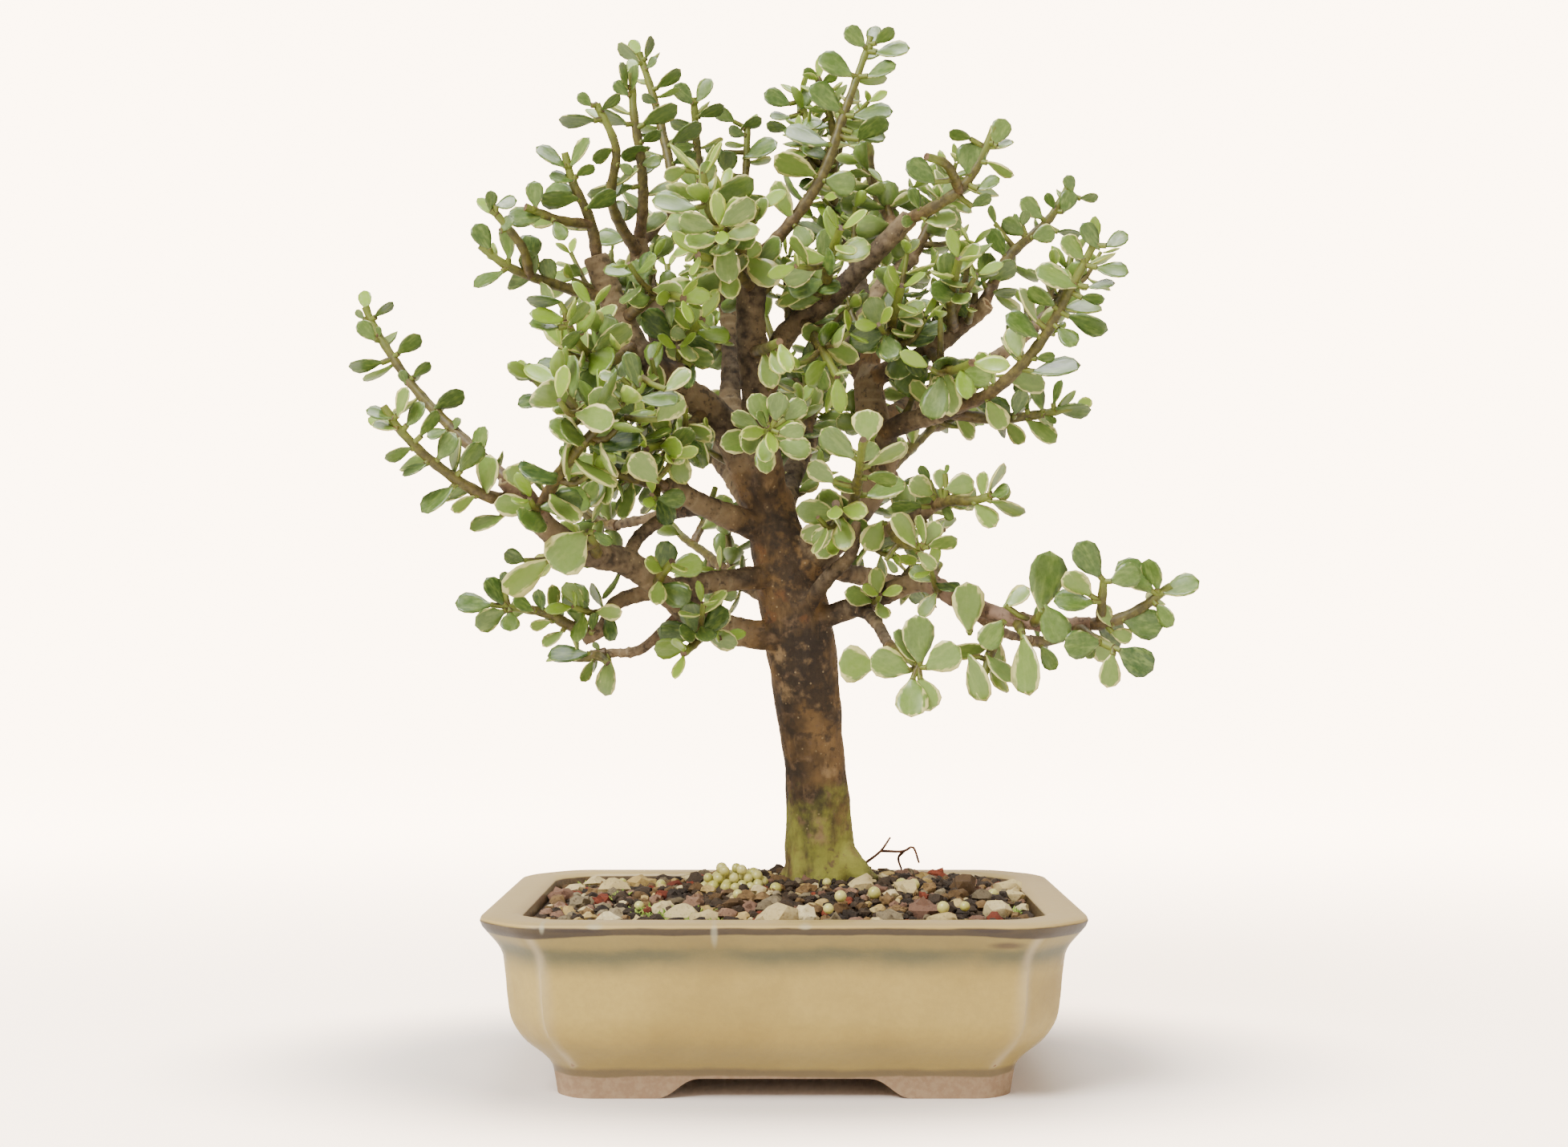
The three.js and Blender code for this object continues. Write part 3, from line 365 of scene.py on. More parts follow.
SOIL_FIRST_DEPTH = -40 * MM
SOIL_ROUNDS = 12


def on_soil(across, down):
    """The point of the soil's surface seen at a pixel, found in rounds from a first depth."""
    depth = SOIL_FIRST_DEPTH
    for _ in range(SOIL_ROUNDS):
        point = on_sight(across, down, depth / MM)
        drop = EYE_HEIGHT - soil_height(point.x, point.y)
        depth = drop * FOCAL_PIXELS / (down - EYE_PIXEL[1]) - EYE_DISTANCE
    return on_sight(across, down, depth / MM)


# Camera, floor and light
SENSOR_WIDTH = 36
PLANT_MIDDLE = Vector((0, 0, 0.15))
BACKDROP_RADIUS = 2.6
BACKDROP_BEND = 0.8
BACKDROP_HEIGHT = 2.6
BACKDROP_SIDES = 96
BEND_STEPS = 12
# The paper's glow: how the plant's reach is squeezed to a round, from and to which distance each part of it
# grows and to how much, and its strength as seen and as cast on the rest
GLOW_SQUEEZE = (0.59, 1, 1)
GLOW_FADES = ((0.056, 0.12, 0.42), (0.1, 0.8, 0.64))
GLOW_SEEN = 10
GLOW_CAST = 0.12
ROOM_LIGHT = 0.19
# Soft boxes: name, place, width, watts and colour
SOFT_BOXES = [
    ("key_light", (-0.75, -0.9, 1.25), 0.7, 49, (1, 0.975, 0.94)),
    ("fill_light", (1.1, -0.7, 0.7), 1.2, 3.4, (1, 0.97, 0.94)),
    ("top_light", (0.1, 0.3, 1.5), 0.8, 24, (1, 0.985, 0.96)),
]


def photo_camera():
    bpy.ops.object.camera_add(location=EYE, rotation=(math.pi / 2, 0, 0))
    camera = bpy.context.object
    camera.name = "photo_camera"
    camera.data.sensor_width = SENSOR_WIDTH
    camera.data.lens = SENSOR_WIDTH * FOCAL_PIXELS / PICTURE[0]
    camera.data.shift_y = (EYE_PIXEL[1] - PICTURE[1] / 2) / PICTURE[0]
    camera.data.clip_start = 0.01
    bpy.context.scene.camera = camera


def plain_material(name, colour, roughness):
    material = bpy.data.materials.new(name)
    material.use_nodes = True
    shader = material.node_tree.nodes["Principled BSDF"]
    shader.inputs["Base Color"].default_value = (*colour, 1)
    shader.inputs["Roughness"].default_value = roughness
    return material


def soft_light(name, place, size, watts, colour):
    """A square soft box at a place, turned towards the middle of the plant."""
    bpy.ops.object.light_add(type="AREA", location=place)
    light = bpy.context.object
    light.name = name
    light.data.size = size
    light.data.energy = watts
    light.data.color = colour
    light.rotation_euler = (PLANT_MIDDLE - Vector(place)).to_track_quat("-Z", "Y").to_euler()


def backdrop():
    """A pale floor that bends up all round into a wall, like a paper sweep."""
    flat = BACKDROP_RADIUS - BACKDROP_BEND
    bpy.ops.mesh.primitive_circle_add(vertices=BACKDROP_SIDES, radius=flat, fill_type="NGON")
    sweep = bpy.context.object
    sweep.name = "pale_sweep"
    bpy.ops.object.mode_set(mode="EDIT")
    bpy.ops.mesh.select_all(action="SELECT")
    bpy.ops.mesh.region_to_loop()
    reach, height = flat, 0
    for step in range(1, BEND_STEPS + 2):
        turn = min(step, BEND_STEPS) / BEND_STEPS * math.pi / 2
        wider = flat + BACKDROP_BEND * math.sin(turn)
        higher = BACKDROP_BEND * (1 - math.cos(turn)) if step <= BEND_STEPS else BACKDROP_HEIGHT
        bpy.ops.mesh.extrude_edges_move(TRANSFORM_OT_translate={"value": (0, 0, higher - height)})
        bpy.ops.transform.resize(value=(wider / reach, wider / reach, 1), center_override=(0, 0, higher))
        reach, height = wider, higher
    bpy.ops.object.mode_set(mode="OBJECT")
    bpy.ops.object.shade_smooth()
    return sweep


def backdrop_finish():
    """Pale paper near the plant, glowing softly further out, so that the floor and wall run together."""
    material = plain_material("pale_paper", (0.88, 0.82, 0.77), 0.9)
    tree = material.node_tree
    shader = tree.nodes["Principled BSDF"]
    shader.inputs["Emission Color"].default_value = (1, 0.77, 0.57, 1)
    place = tree.nodes.new("ShaderNodeTexCoord").outputs["Object"]
    squeezed = tree.nodes.new("ShaderNodeVectorMath")
    squeezed.operation = "MULTIPLY"
    squeezed.inputs[1].default_value = GLOW_SQUEEZE
    tree.links.new(place, squeezed.inputs[0])
    reach = tree.nodes.new("ShaderNodeVectorMath")
    reach.operation = "LENGTH"
    tree.links.new(squeezed.outputs["Vector"], reach.inputs[0])
    fades = []
    for near, far, most in GLOW_FADES:
        fade = tree.nodes.new("ShaderNodeMapRange")
        fade.interpolation_type = "SMOOTHSTEP"
        fade.inputs["From Min"].default_value = near
        fade.inputs["From Max"].default_value = far
        fade.inputs["To Max"].default_value = most
        tree.links.new(reach.outputs["Value"], fade.inputs["Value"])
        fades.append(fade.outputs["Result"])
    total = tree.nodes.new("ShaderNodeMath")
    for fade, socket in zip(fades, total.inputs):
        tree.links.new(fade, socket)
    seen = tree.nodes.new("ShaderNodeLightPath").outputs["Is Camera Ray"]
    glow = tree.nodes.new("ShaderNodeMapRange")
    glow.inputs["To Min"].default_value = GLOW_CAST
    glow.inputs["To Max"].default_value = GLOW_SEEN
    tree.links.new(seen, glow.inputs["Value"])
    both = tree.nodes.new("ShaderNodeMath")
    both.operation = "MULTIPLY"
    tree.links.new(total.outputs[0], both.inputs[0])
    tree.links.new(glow.outputs["Result"], both.inputs[1])
    tree.links.new(both.outputs[0], shader.inputs["Emission Strength"])
    return material


def studio():
    sweep = backdrop()
    sweep.data.materials.append(backdrop_finish())
    world = bpy.context.scene.world or bpy.data.worlds.new("room_light")
    bpy.context.scene.world = world
    world.use_nodes = True
    background = world.node_tree.nodes["Background"]
    background.inputs["Color"].default_value = (1, 0.965, 0.93, 1)
    background.inputs["Strength"].default_value = ROOM_LIGHT
    for box in SOFT_BOXES:
        soft_light(*box)


# Routes
ROUTE_FINENESS = 16
SHORTEST = 1e-9


def smooth_route(points, step):
    """Points about a step apart along a smooth curve through the given ones."""
    ends = [points[0] * 2 - points[1], *points, points[-1] * 2 - points[-2]]
    fine = []
    for a, b, c, d in zip(ends, ends[1:], ends[2:], ends[3:]):
        knots = [0]
        for start, end in ((a, b), (b, c), (c, d)):
            knots.append(knots[-1] + max((end - start).length, SHORTEST) ** 0.5)
        for i in range(ROUTE_FINENESS):
            t = knots[1] + (knots[2] - knots[1]) * i / ROUTE_FINENESS
            one = a.lerp(b, (t - knots[0]) / (knots[1] - knots[0]))
            two = b.lerp(c, (t - knots[1]) / (knots[2] - knots[1]))
            three = c.lerp(d, (t - knots[2]) / (knots[3] - knots[2]))
            first = one.lerp(two, (t - knots[0]) / (knots[2] - knots[0]))
            second = two.lerp(three, (t - knots[1]) / (knots[3] - knots[1]))
            fine.append(first.lerp(second, (t - knots[1]) / (knots[2] - knots[1])))
    fine.append(points[-1])
    reached = [0]
    for before, after in zip(fine, fine[1:]):
        reached.append(reached[-1] + (after - before).length)
    steps = max(2, round(reached[-1] / step))
    wanted = [reached[-1] * i / steps for i in range(steps + 1)]
    by_axis = [[point[axis] for point in fine] for axis in range(3)]
    return [Vector([np.interp(place, reached, line) for line in by_axis]) for place in wanted]


def length_of(path):
    return sum((after - before).length for before, after in zip(path, path[1:]))


def spread_radii(radii, count):
    """The radii, in metres, at evenly spaced points of a path."""
    places = np.linspace(0, len(radii) - 1, count)
    return np.interp(places, range(len(radii)), radii) * MM


def stem_curve(name, path, radii, resolution):
    """A round stem as a bevelled curve."""
    curve = bpy.data.curves.new(name, "CURVE")
    curve.dimensions = "3D"
    curve.bevel_depth = 1
    curve.bevel_resolution = resolution
    curve.use_fill_caps = True
    spline = curve.splines.new("POLY")
    spline.points.add(len(path) - 1)
    for point, place, radius in zip(spline.points, path, radii):
        point.co = (*place, 1)
        point.radius = radius
    stem = bpy.data.objects.new(name, curve)
    bpy.context.scene.collection.objects.link(stem)
    return stem


def select_only(objects):
    bpy.ops.object.select_all(action="DESELECT")
    for obj in objects:
        obj.select_set(True)
    bpy.context.view_layer.objects.active = objects[0]


def made_mesh(objects, name):
    """Curves and meshes turned into one mesh."""
    select_only(objects)
    bpy.ops.object.convert(target="MESH")
    if len(objects) > 1:
        bpy.ops.object.join()
    piece = bpy.context.object
    piece.name = name
    piece.data.name = name
    return piece


def joined(parts, name):
    select_only(parts)
    bpy.ops.object.join()
    piece = bpy.context.object
    piece.name = name
    piece.data.name = name
    return piece


def own_copy(model, name):
    """A copy of a model, with a mesh of its own."""
    copy = model.copy()
    copy.data = model.data.copy()
    copy.name = name
    bpy.context.scene.collection.objects.link(copy)
    return copy


def outwards():
    """Turns every face of the piece in edit mode outwards."""
    bpy.ops.mesh.select_all(action="SELECT")
    bpy.ops.mesh.normals_make_consistent(inside=False)


def finish_piece(piece, material_slot, *nodes):
    """Puts the piece at the origin, on its body, and hides the solids it stands for. Its finish argument,
    material_slot, is not used.
    """
    select_only([piece])
    bpy.ops.object.transform_apply(location=True, rotation=True, scale=True)
    bpy.ops.object.shade_smooth()
    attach(piece, "root")
    if nodes:
        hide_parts(*nodes)
    return piece


def stand_out(piece, relief):
    """Moves each point of a piece out along its normal, by a formula of its place and number."""
    places = [vertex.co.copy() for vertex in piece.data.vertices]
    normals = [vertex.normal.copy() for vertex in piece.data.vertices]
    moved = [
        place + normal * relief(place, number)
        for number, (place, normal) in enumerate(zip(places, normals))
    ]
    piece.data.vertices.foreach_set("co", np.array(moved).ravel())
    piece.data.update()


def give_values(piece, name, values):
    """A number for every point of a piece, for its finish to read."""
    found = piece.data.attributes.new(name, "FLOAT", "POINT")
    found.data.foreach_set("value", np.asarray(values, np.float32))


# Wood

BARK_STEP = 1.5 * MM
BARK_VOXEL = 0.75 * MM
BARK_SOFTENING = 3
WOOD_ROUNDNESS = 6


def swollen(radii, random, spacing=3.4, swell=0.07):
    """Radii with the low rings that old leaf pairs leave on the wood."""
    next_ring = random.uniform(1, spacing)
    made = []
    for i, radius in enumerate(radii):
        along = i * BARK_STEP / MM
        made.append(radius)
        if along >= next_ring:
            made[-1] = radius * (1 + swell * random.uniform(0.5, 1.3))
            next_ring = along + spacing * random.uniform(0.7, 1.5)
    return made


# Rings left by old leaf pairs: how far apart, high and sharp, how they wander, and the patches without them
RING_SPACING = 3.1 * MM
RING_RISE = 0.26
RING_SHARPNESS = 0.13
RING_WANDER, WANDER_FINENESS = 0.5, 70
RING_SHARE, PATCH_FINENESS = 0.55, 110
RINGLESS_RADIUS, RINGED_DROP, LEAST_RINGED = 6 * MM, 3 * MM, 0.2
LIMB_START = 8 * MM
LIMB_FADE = 8 * MM
HEART_DEPTH = 1.1
HEART_EDGE, HEART_STEEPNESS = 0.3, 5
# The bark's relief: how fine each kind is, and how far it stands out in millimetres
CREASE_FINENESS, CREASE_RISE, LIMB_CREASE_RISE = Vector((420, 420, 110)), 0.34, 0.12
FLAKE_FINENESS, FLAKE_EDGE, FLAKE_RISE = Vector((300, 300, 150)), 0.12, 0.5
LUMP_FINENESS, LUMP_RISE = 130, 0.42
ROUGH_FINENESS, ROUGH_RISE = 700, 0.12
KNOT_ROUNDNESS = 1.5
CUT_ENDS = ("left_cut", "middle_cut", "right_cut", "left_stub", "left_low")
# Patches of the bark: pixel, depth and reach, with how far a knot stands out
BARK_MARKS = {
    # Among the dark patches, the one under the knot at (1044, 992) and the one at the trunk's foot at (1002,
    # 1078) are painted shadow
    "dark": [
        (1012, 806, 0, 8), (1018, 840, 0, 9), (1024, 868, 2, 8), (985, 660, -2, 12), (992, 715, -2, 11),
        (1030, 690, 0, 8), (1044, 992, -2, 4), (1002, 1078, -10, 6), (1036, 916, 2, 4),
    ],
    "pale": [
        (1049, 838, 6, 3), (1051, 868, 6, 3), (1053, 898, 6, 3), (1054, 928, 6, 3), (1037, 964, 4, 3.6),
        (1022, 1024, 3, 4), (1021, 1044, 3, 3.4), (970, 822, 2, 5), (974, 866, 2, 5), (1066, 1064, 8, 5),
        (990, 1000, -7, 7), (1014, 1002, -10, 8), (1044, 1014, -6, 5),
    ],
    "rosy": [
        (1180, 738, -22, 8), (1232, 762, -30, 11), (1290, 776, -36, 12), (1352, 778, -42, 11),
        (650, 620, -50, 12),
        (998, 910, -8, 8), (1010, 936, -9, 9), (992, 958, -7, 8), (1024, 950, -8, 7),
    ],
    "rust": [(954, 690, 3, 5), (975, 742, 0, 4), (1004, 771, -1, 2.6), (962, 770, 3, 4)],
}
KNOTS = [
    (1037, 966, 3, 3.4, 1.2), (962, 838, 6, 3, 0.9), (1052, 812, 6, 3.6, 1.1), (957, 692, 4, 3.4, 0.9),
    (1008, 930, 2, 3, 0.5), (978, 872, 5, 3, 0.6),
]


def reach_of(places, vertices):
    """How near each point lies to the nearest of some places, from 1 on it to 0 at its reach."""
    found = np.zeros(len(vertices))
    for across, down, depth, reach in places:
        away = np.linalg.norm(vertices - np.array(on_sight(across, down, depth)), axis=1)
        found = np.maximum(found, 1 - away / (reach * MM))
    return found


def nearest_on(stems, vertices):
    """For each point: which step of which stem it belongs to, judged by distance in radii."""
    steps = np.array([point for _, path, _ in stems for point in path])
    radii = np.concatenate([np.asarray(widths) for _, _, widths in stems])
    squares = (steps**2).sum(1)
    found = np.empty(len(vertices), int)
    for start in range(0, len(vertices), 4096):
        part = vertices[start:start + 4096]
        away = (part**2).sum(1)[:, None] + squares - 2 * part @ steps.T
        found[start:start + 4096] = (away / radii**2).argmin(1)
    return found


def bark_piece(wood, stems):
    """Gives the wood its creases, rings, knots and sunk cut ends, and tells the finish where they lie."""
    vertices = np.array([vertex.co for vertex in wood.data.vertices])
    steps = [(name, path, widths, i) for name, path, widths in stems for i in range(len(path))]
    found = nearest_on(stems, vertices)
    limb, ring, cut = (np.zeros(len(vertices)) for _ in range(3))
    for number, (vertex, nearest) in enumerate(zip(vertices, found)):
        name, path, widths, i = steps[nearest]
        if name not in BRANCHES:
            continue
        grown = i * BARK_STEP
        limb[number] = min(1, max(0, (grown - LIMB_START) / LIMB_FADE))
        ahead = (path[min(i + 1, len(path) - 1)] - path[max(i - 1, 0)]).normalized()
        off = Vector(vertex) - path[i]
        past = off.dot(ahead)
        wander = RING_WANDER * noise.noise(Vector(vertex) * WANDER_FINENESS)
        turn = ((grown + past) / RING_SPACING + wander) % 1
        slim = min(1, max(LEAST_RINGED, (RINGLESS_RADIUS - widths[i]) / RINGED_DROP))
        strong = slim * (RING_SHARE + noise.noise(Vector(vertex) * PATCH_FINENESS))
        ring[number] = limb[number] * max(0, strong) * math.exp(-((turn - 0.5) / RING_SHARPNESS) ** 2)
        if name in CUT_ENDS and i == len(path) - 1 and past > -0.5 * MM:
            cut[number] = max(0, 1 - (off - ahead * past).length / widths[-1])
            ring[number] = 0
    for name, values in (("limb", limb), ("ring", ring), ("cut", cut)):
        give_values(wood, name, values)
    for name, places in BARK_MARKS.items():
        give_values(wood, name, np.clip(reach_of(places, vertices), 0, 1))
    knots = sum(rise * np.clip(reach_of([place], vertices), 0, 1) ** KNOT_ROUNDNESS for *place, rise in KNOTS)

    def relief(point, number):
        creases = noise.noise(point * CREASE_FINENESS)
        flakes = abs(noise.noise(point * FLAKE_FINENESS))
        lumps = LUMP_RISE * noise.noise(point * LUMP_FINENESS)
        rough = lumps + ROUGH_RISE * noise.noise(point * ROUGH_FINENESS) + knots[number]
        trunk = CREASE_RISE * creases - FLAKE_RISE * max(0, FLAKE_EDGE - flakes)
        ringed = RING_RISE * ring[number] + LIMB_CREASE_RISE * creases
        heart = HEART_DEPTH * min(1, max(0, (cut[number] - HEART_EDGE) * HEART_STEEPNESS))
        return (rough + trunk + (ringed - trunk) * limb[number] - heart) * MM

    stand_out(wood, relief)


def woody_piece():
    random = Random(11)
    stems = []
    for name, made in {"trunk": TRUNK, **BRANCHES, **ROOTS}.items():
        path = smooth_route([on_sight(*point) for point in made["route"]], BARK_STEP)
        radii = spread_radii(made["radii"], len(path))
        if name in BRANCHES:
            radii = swollen(radii, random)
        stems.append((name, path, radii))
    wood = made_mesh([stem_curve(*stem, WOOD_ROUNDNESS) for stem in stems], "trunk_and_branches")
    remesh = wood.modifiers.new("one_skin", "REMESH")
    remesh.mode = "VOXEL"
    remesh.voxel_size = BARK_VOXEL
    bpy.ops.object.modifier_apply(modifier=remesh.name)
    smooth = wood.modifiers.new("soft_joints", "SMOOTH")
    smooth.iterations = BARK_SOFTENING
    bpy.ops.object.modifier_apply(modifier=smooth.name)
    bark_piece(wood, stems)
    return wood


# Leaves: rings from the root to the tip, as shares of the leaf's length
LEAF_ALONG = [0, 0.05, 0.16, 0.34, 0.54, 0.74, 0.9, 1]
LEAF_HALF_THICK = [0, 0.045, 0.055, 0.065, 0.07, 0.06, 0.045, 0]
LEAF_FORMS = {
    "broad": [0, 0.05, 0.11, 0.25, 0.335, 0.345, 0.24, 0],
    "oval": [0, 0.045, 0.1, 0.22, 0.29, 0.285, 0.18, 0],
    "young": [0, 0.06, 0.12, 0.21, 0.25, 0.23, 0.14, 0],
}
LEAF_SEGMENTS = 10
LEAF_CUP = 0.1
LEAF_BEND = 0.06
LEAF_SPACING = 0.58
ROOT_SHARE = 0.3
ROOT_OUT = 0.5 * MM
BARE_START = 3.5 * MM
BARE_TWIG = 4 * MM
LEAF_CLEARANCE = 0.15 * MM
STEM_CLEARANCE = 0.3 * MM
REACH = 4 * MM
SHOOT_STEP = 2 * MM
STEM_ROUNDNESS = 2
# How much thinner a leaf is at its side than in the middle, and the share of it that is tip
SIDE_THINNING = 0.4
TIP_SHARE = 0.25
# A leaf's widest half, and its reach round its middle, as the room it needs is judged
WIDEST_HALF = 0.34
NEARBY = 0.7
HALF_HEIGHT = 0.08
# Turns and lifts that a leaf tries, one after another
ASIDE = (0, 0.35, -0.35, 0.7, -0.7)
LIFTS = (0, 0.35, -0.35)


def leaf_model(name, half):
    """One fleshy leaf of unit length: a ball stretched from root to tip, each ring resized and cupped."""
    bpy.ops.object.select_all(action="DESELECT")
    bpy.ops.mesh.primitive_uv_sphere_add(segments=LEAF_SEGMENTS, ring_count=len(half) - 1, radius=1)
    leaf = bpy.context.object
    leaf.name = "leaf_" + name
    leaf.rotation_euler = (-math.pi / 2, 0, 0)
    bpy.ops.object.transform_apply(rotation=True)
    mesh = leaf.data
    heights = sorted({round(vertex.co.y, 3) for vertex in mesh.vertices})
    rim = mesh.attributes.new("rim", "FLOAT", "POINT")
    side = mesh.attributes.new("side", "FLOAT", "POINT")
    for vertex in mesh.vertices:
        ring = heights.index(round(vertex.co.y, 3))
        reach = math.hypot(vertex.co.x, vertex.co.z)
        out = vertex.co.x / reach if reach > 1e-3 else 0
        up = vertex.co.z / reach if reach > 1e-3 else 0
        share = LEAF_ALONG[ring]
        x = out * half[ring]
        cup = LEAF_CUP * (x / half[4]) ** 2
        bend = LEAF_BEND * math.sin(share * math.pi)
        z = up * LEAF_HALF_THICK[ring] * (1 - SIDE_THINNING * abs(out)) + cup - bend
        rim.data[vertex.index].value = max(abs(out), (share - (1 - TIP_SHARE)) / TIP_SHARE)
        side.data[vertex.index].value = 0.5 + 0.5 * up
        vertex.co = (x, share, z)
    uv = mesh.uv_layers.active.data
    for loop in mesh.loops:
        place = mesh.vertices[loop.vertex_index].co
        uv[loop.index].uv = (place.x + 0.5, place.y)
    mesh.attributes.new("tint", "FLOAT", "POINT")
    mesh.attributes.new("youth", "FLOAT", "POINT")
    bpy.ops.object.mode_set(mode="EDIT")
    outwards()
    bpy.ops.object.mode_set(mode="OBJECT")
    return leaf


# Points spread over a leaf, to tell whether it is clear of its neighbours
LEAF_GRID = np.array([
    (share, min(WIDEST_HALF, share * 0.7, (1.06 - share) * 1.5) * side)
    for share in (0.14, ROOT_SHARE, 0.46, 0.62, 0.78, 0.93)
    for side in (-1, -0.5, 0, 0.5, 1)
])
ROOT_POINTS = int((LEAF_GRID[:, 0] <= ROOT_SHARE).sum())


def leaf_level(along, half):
    """How high a leaf's middle sheet lies, cupped across and bent along, as a share of its length."""
    return LEAF_CUP * (half / WIDEST_HALF) ** 2 - LEAF_BEND * np.sin(along * math.pi)


def out_of_reach(place, slack):
    return any(not low - slack < part < high + slack for low, part, high in zip(cad_low, place, cad_high))


class Room:
    """What the leaves must keep clear of: every stem, and the leaves grown so far."""

    def __init__(self):
        self.leaves = {"root": [], "along": [], "across": [], "face": [], "length": [], "owner": []}
        self.arrays = None
        self.stems = []

    def add_stem(self, path, radii, owner):
        for start, end, radius in zip(path, path[1:], radii):
            self.stems.append((*start, *end, radius, owner))

    def close_stems(self):
        table = np.array(self.stems)
        self.starts, self.runs = table[:, :3], table[:, 3:6] - table[:, :3]
        self.radii, self.owners = table[:, 6], table[:, 7]
        self.middles = self.starts + self.runs / 2
        self.long = np.linalg.norm(self.runs, axis=1)

    def add_leaf(self, leaf, owner):
        for key in ("root", "along", "across", "face"):
            self.leaves[key].append(tuple(leaf[key]))
        self.leaves["length"].append(leaf["length"])
        self.leaves["owner"].append(owner)
        self.arrays = {key: np.array(value, float) for key, value in self.leaves.items()}

    def meets_stem(self, points, leaf, owner):
        centre = np.array(leaf["root"] + leaf["along"] * leaf["length"] * 0.5)
        away = np.linalg.norm(self.middles - centre, axis=1)
        reach = leaf["length"] * NEARBY + self.long / 2 + self.radii + STEM_CLEARANCE
        near = (self.owners != owner) & (away < reach)
        if not near.any():
            return False
        runs = self.runs[near][:, None]
        rel = points[None] - self.starts[near][:, None]
        share = np.clip((rel * runs).sum(-1) / (runs * runs).sum(-1), 0, 1)
        gap = np.linalg.norm(rel - share[..., None] * runs, axis=-1) - self.radii[near][:, None]
        return bool((gap < STEM_CLEARANCE).any())

    def meets_leaf(self, points, leaf, owner):
        if self.arrays is None:
            return False
        grown = self.arrays
        centre = np.array(leaf["root"] + leaf["along"] * leaf["length"] * 0.5)
        middles = grown["root"] + grown["along"] * grown["length"][:, None] * 0.5
        near = np.linalg.norm(middles - centre, axis=1) < (grown["length"] + leaf["length"]) * NEARBY
        if not near.any():
            return False
        length = grown["length"][near][:, None]
        rel = points[None] - grown["root"][near][:, None]
        along = (rel * grown["along"][near][:, None]).sum(-1) / length
        half = np.abs((rel * grown["across"][near][:, None]).sum(-1)) / length
        rise = (rel * grown["face"][near][:, None]).sum(-1) / length
        slack = LEAF_CLEARANCE / length
        edge = np.minimum(np.minimum(0.35, 0.1 + along * 0.6), (1.06 - along) * 1.5) + slack
        level = leaf_level(np.clip(along, 0, 1), half)
        hit = (along > -slack) & (along < 1 + slack) & (half < edge)
        hit &= np.abs(rise - level) < HALF_HEIGHT + slack
        same = grown["owner"][near] == owner
        hit[same, :ROOT_POINTS] = False
        return bool(hit.any())

    def clear(self, leaf, owner):
        tip = leaf["root"] + leaf["along"] * leaf["length"]
        if out_of_reach(tip, REACH):
            return False
        grid = LEAF_GRID * leaf["length"]
        level = leaf_level(*LEAF_GRID.T)
        points = (
            np.array(leaf["root"])
            + grid[:, :1] * np.array(leaf["along"])
            + grid[:, 1:] * np.array(leaf["across"])
            + (level * leaf["length"])[:, None] * np.array(leaf["face"])
        )
        return not self.meets_stem(points, leaf, owner) and not self.meets_leaf(points, leaf, owner)


def squared(leaf):
    """The leaf with its across made square to its length, and the way its upper side faces."""
    across = (leaf["across"] - leaf["along"] * leaf["across"].dot(leaf["along"])).normalized()
    return {**leaf, "across": across, "face": across.cross(leaf["along"])}


def turned(vector, axis, angle):
    return Matrix.Rotation(angle, 3, axis) @ vector


def settled(leaf, room, owner):
    """Where a leaf would meet a neighbour, it turns aside a little; if nothing helps, it isn't grown."""
    for turn in ASIDE:
        for lift in LIFTS:
            along = turned(turned(leaf["along"], leaf["face"], turn), leaf["across"], lift)
            across = turned(leaf["across"], leaf["face"], turn)
            tried = squared({**leaf, "along": along, "across": across})
            if room.clear(tried, owner):
                return tried
    return None


# How pairs of leaves wander round the stem, each leaf's tilt, roll and size, and how near the tip they reach
FIRST_WANDER, PAIR_WANDER = 0.4, 0.25
LEAF_TILT, LEAF_ROLL = 0.16, 0.35
LEAF_SPREAD = (0.92, 1.18)
LAST_PAIR = 0.995
TINT_DEPTH = 1.2
# Lean and size of a leaf, each with how much is lost at the tip and how late, on open and on usual shoots
OPEN_LEAN, OPEN_SIZE = (1.25, 0.25, 1), (1, 0.25, 1)
USUAL_LEAN, USUAL_SIZE = (1.34, 0.62, 4), (1.12, 0.3, 2.5)


def less_at_tip(youth, start, lost, late):
    return start - lost * youth**late


def drawn_tint(random, shade):
    """How pale a leaf is: rather dark on most shoots, and from a given shade up on the pale ones."""
    return random.random() ** TINT_DEPTH if shade is None else shade + (1 - shade) * random.random()


def wanted_leaves(path, leaf_length, is_open, random, bare, shade):
    """Pairs of leaves up a stem, each a quarter turn from the last, smaller and steeper towards the tip."""
    long = length_of(path)
    pairs = max(1, round((long - bare) / (leaf_length * LEAF_SPACING)))
    first = random.choice((0, math.pi / 2)) + random.uniform(-FIRST_WANDER, FIRST_WANDER)
    leaves = []
    for pair in range(pairs + 1):
        youth = pair / pairs
        reached = min(LAST_PAIR, (bare + (long - bare) * youth) / long) * (len(path) - 1)
        below = min(int(reached), len(path) - 2)
        middle = path[below].lerp(path[below + 1], reached - below)
        ahead = (path[below + 1] - path[below]).normalized()
        side = ahead.cross(Vector((0, 0, 1))).normalized()
        turn = first + pair * math.pi / 2 + random.uniform(-PAIR_WANDER, PAIR_WANDER)
        side = turned(side, ahead, turn)
        lean = less_at_tip(youth, *(OPEN_LEAN if is_open else USUAL_LEAN))
        size = leaf_length * less_at_tip(youth, *(OPEN_SIZE if is_open else USUAL_SIZE))
        for out in (side, -side):
            tilt = lean + random.uniform(-LEAF_TILT, LEAF_TILT)
            along = ahead * math.cos(tilt) + out * math.sin(tilt)
            across = turned(out.cross(ahead), along, random.uniform(-LEAF_ROLL, LEAF_ROLL))
            leaves.append(squared({
                "root": middle + out * ROOT_OUT,
                "along": along,
                "across": across,
                "length": size * random.uniform(*LEAF_SPREAD),
                "youth": youth,
                "tint": drawn_tint(random, shade),
            }))
    return leaves


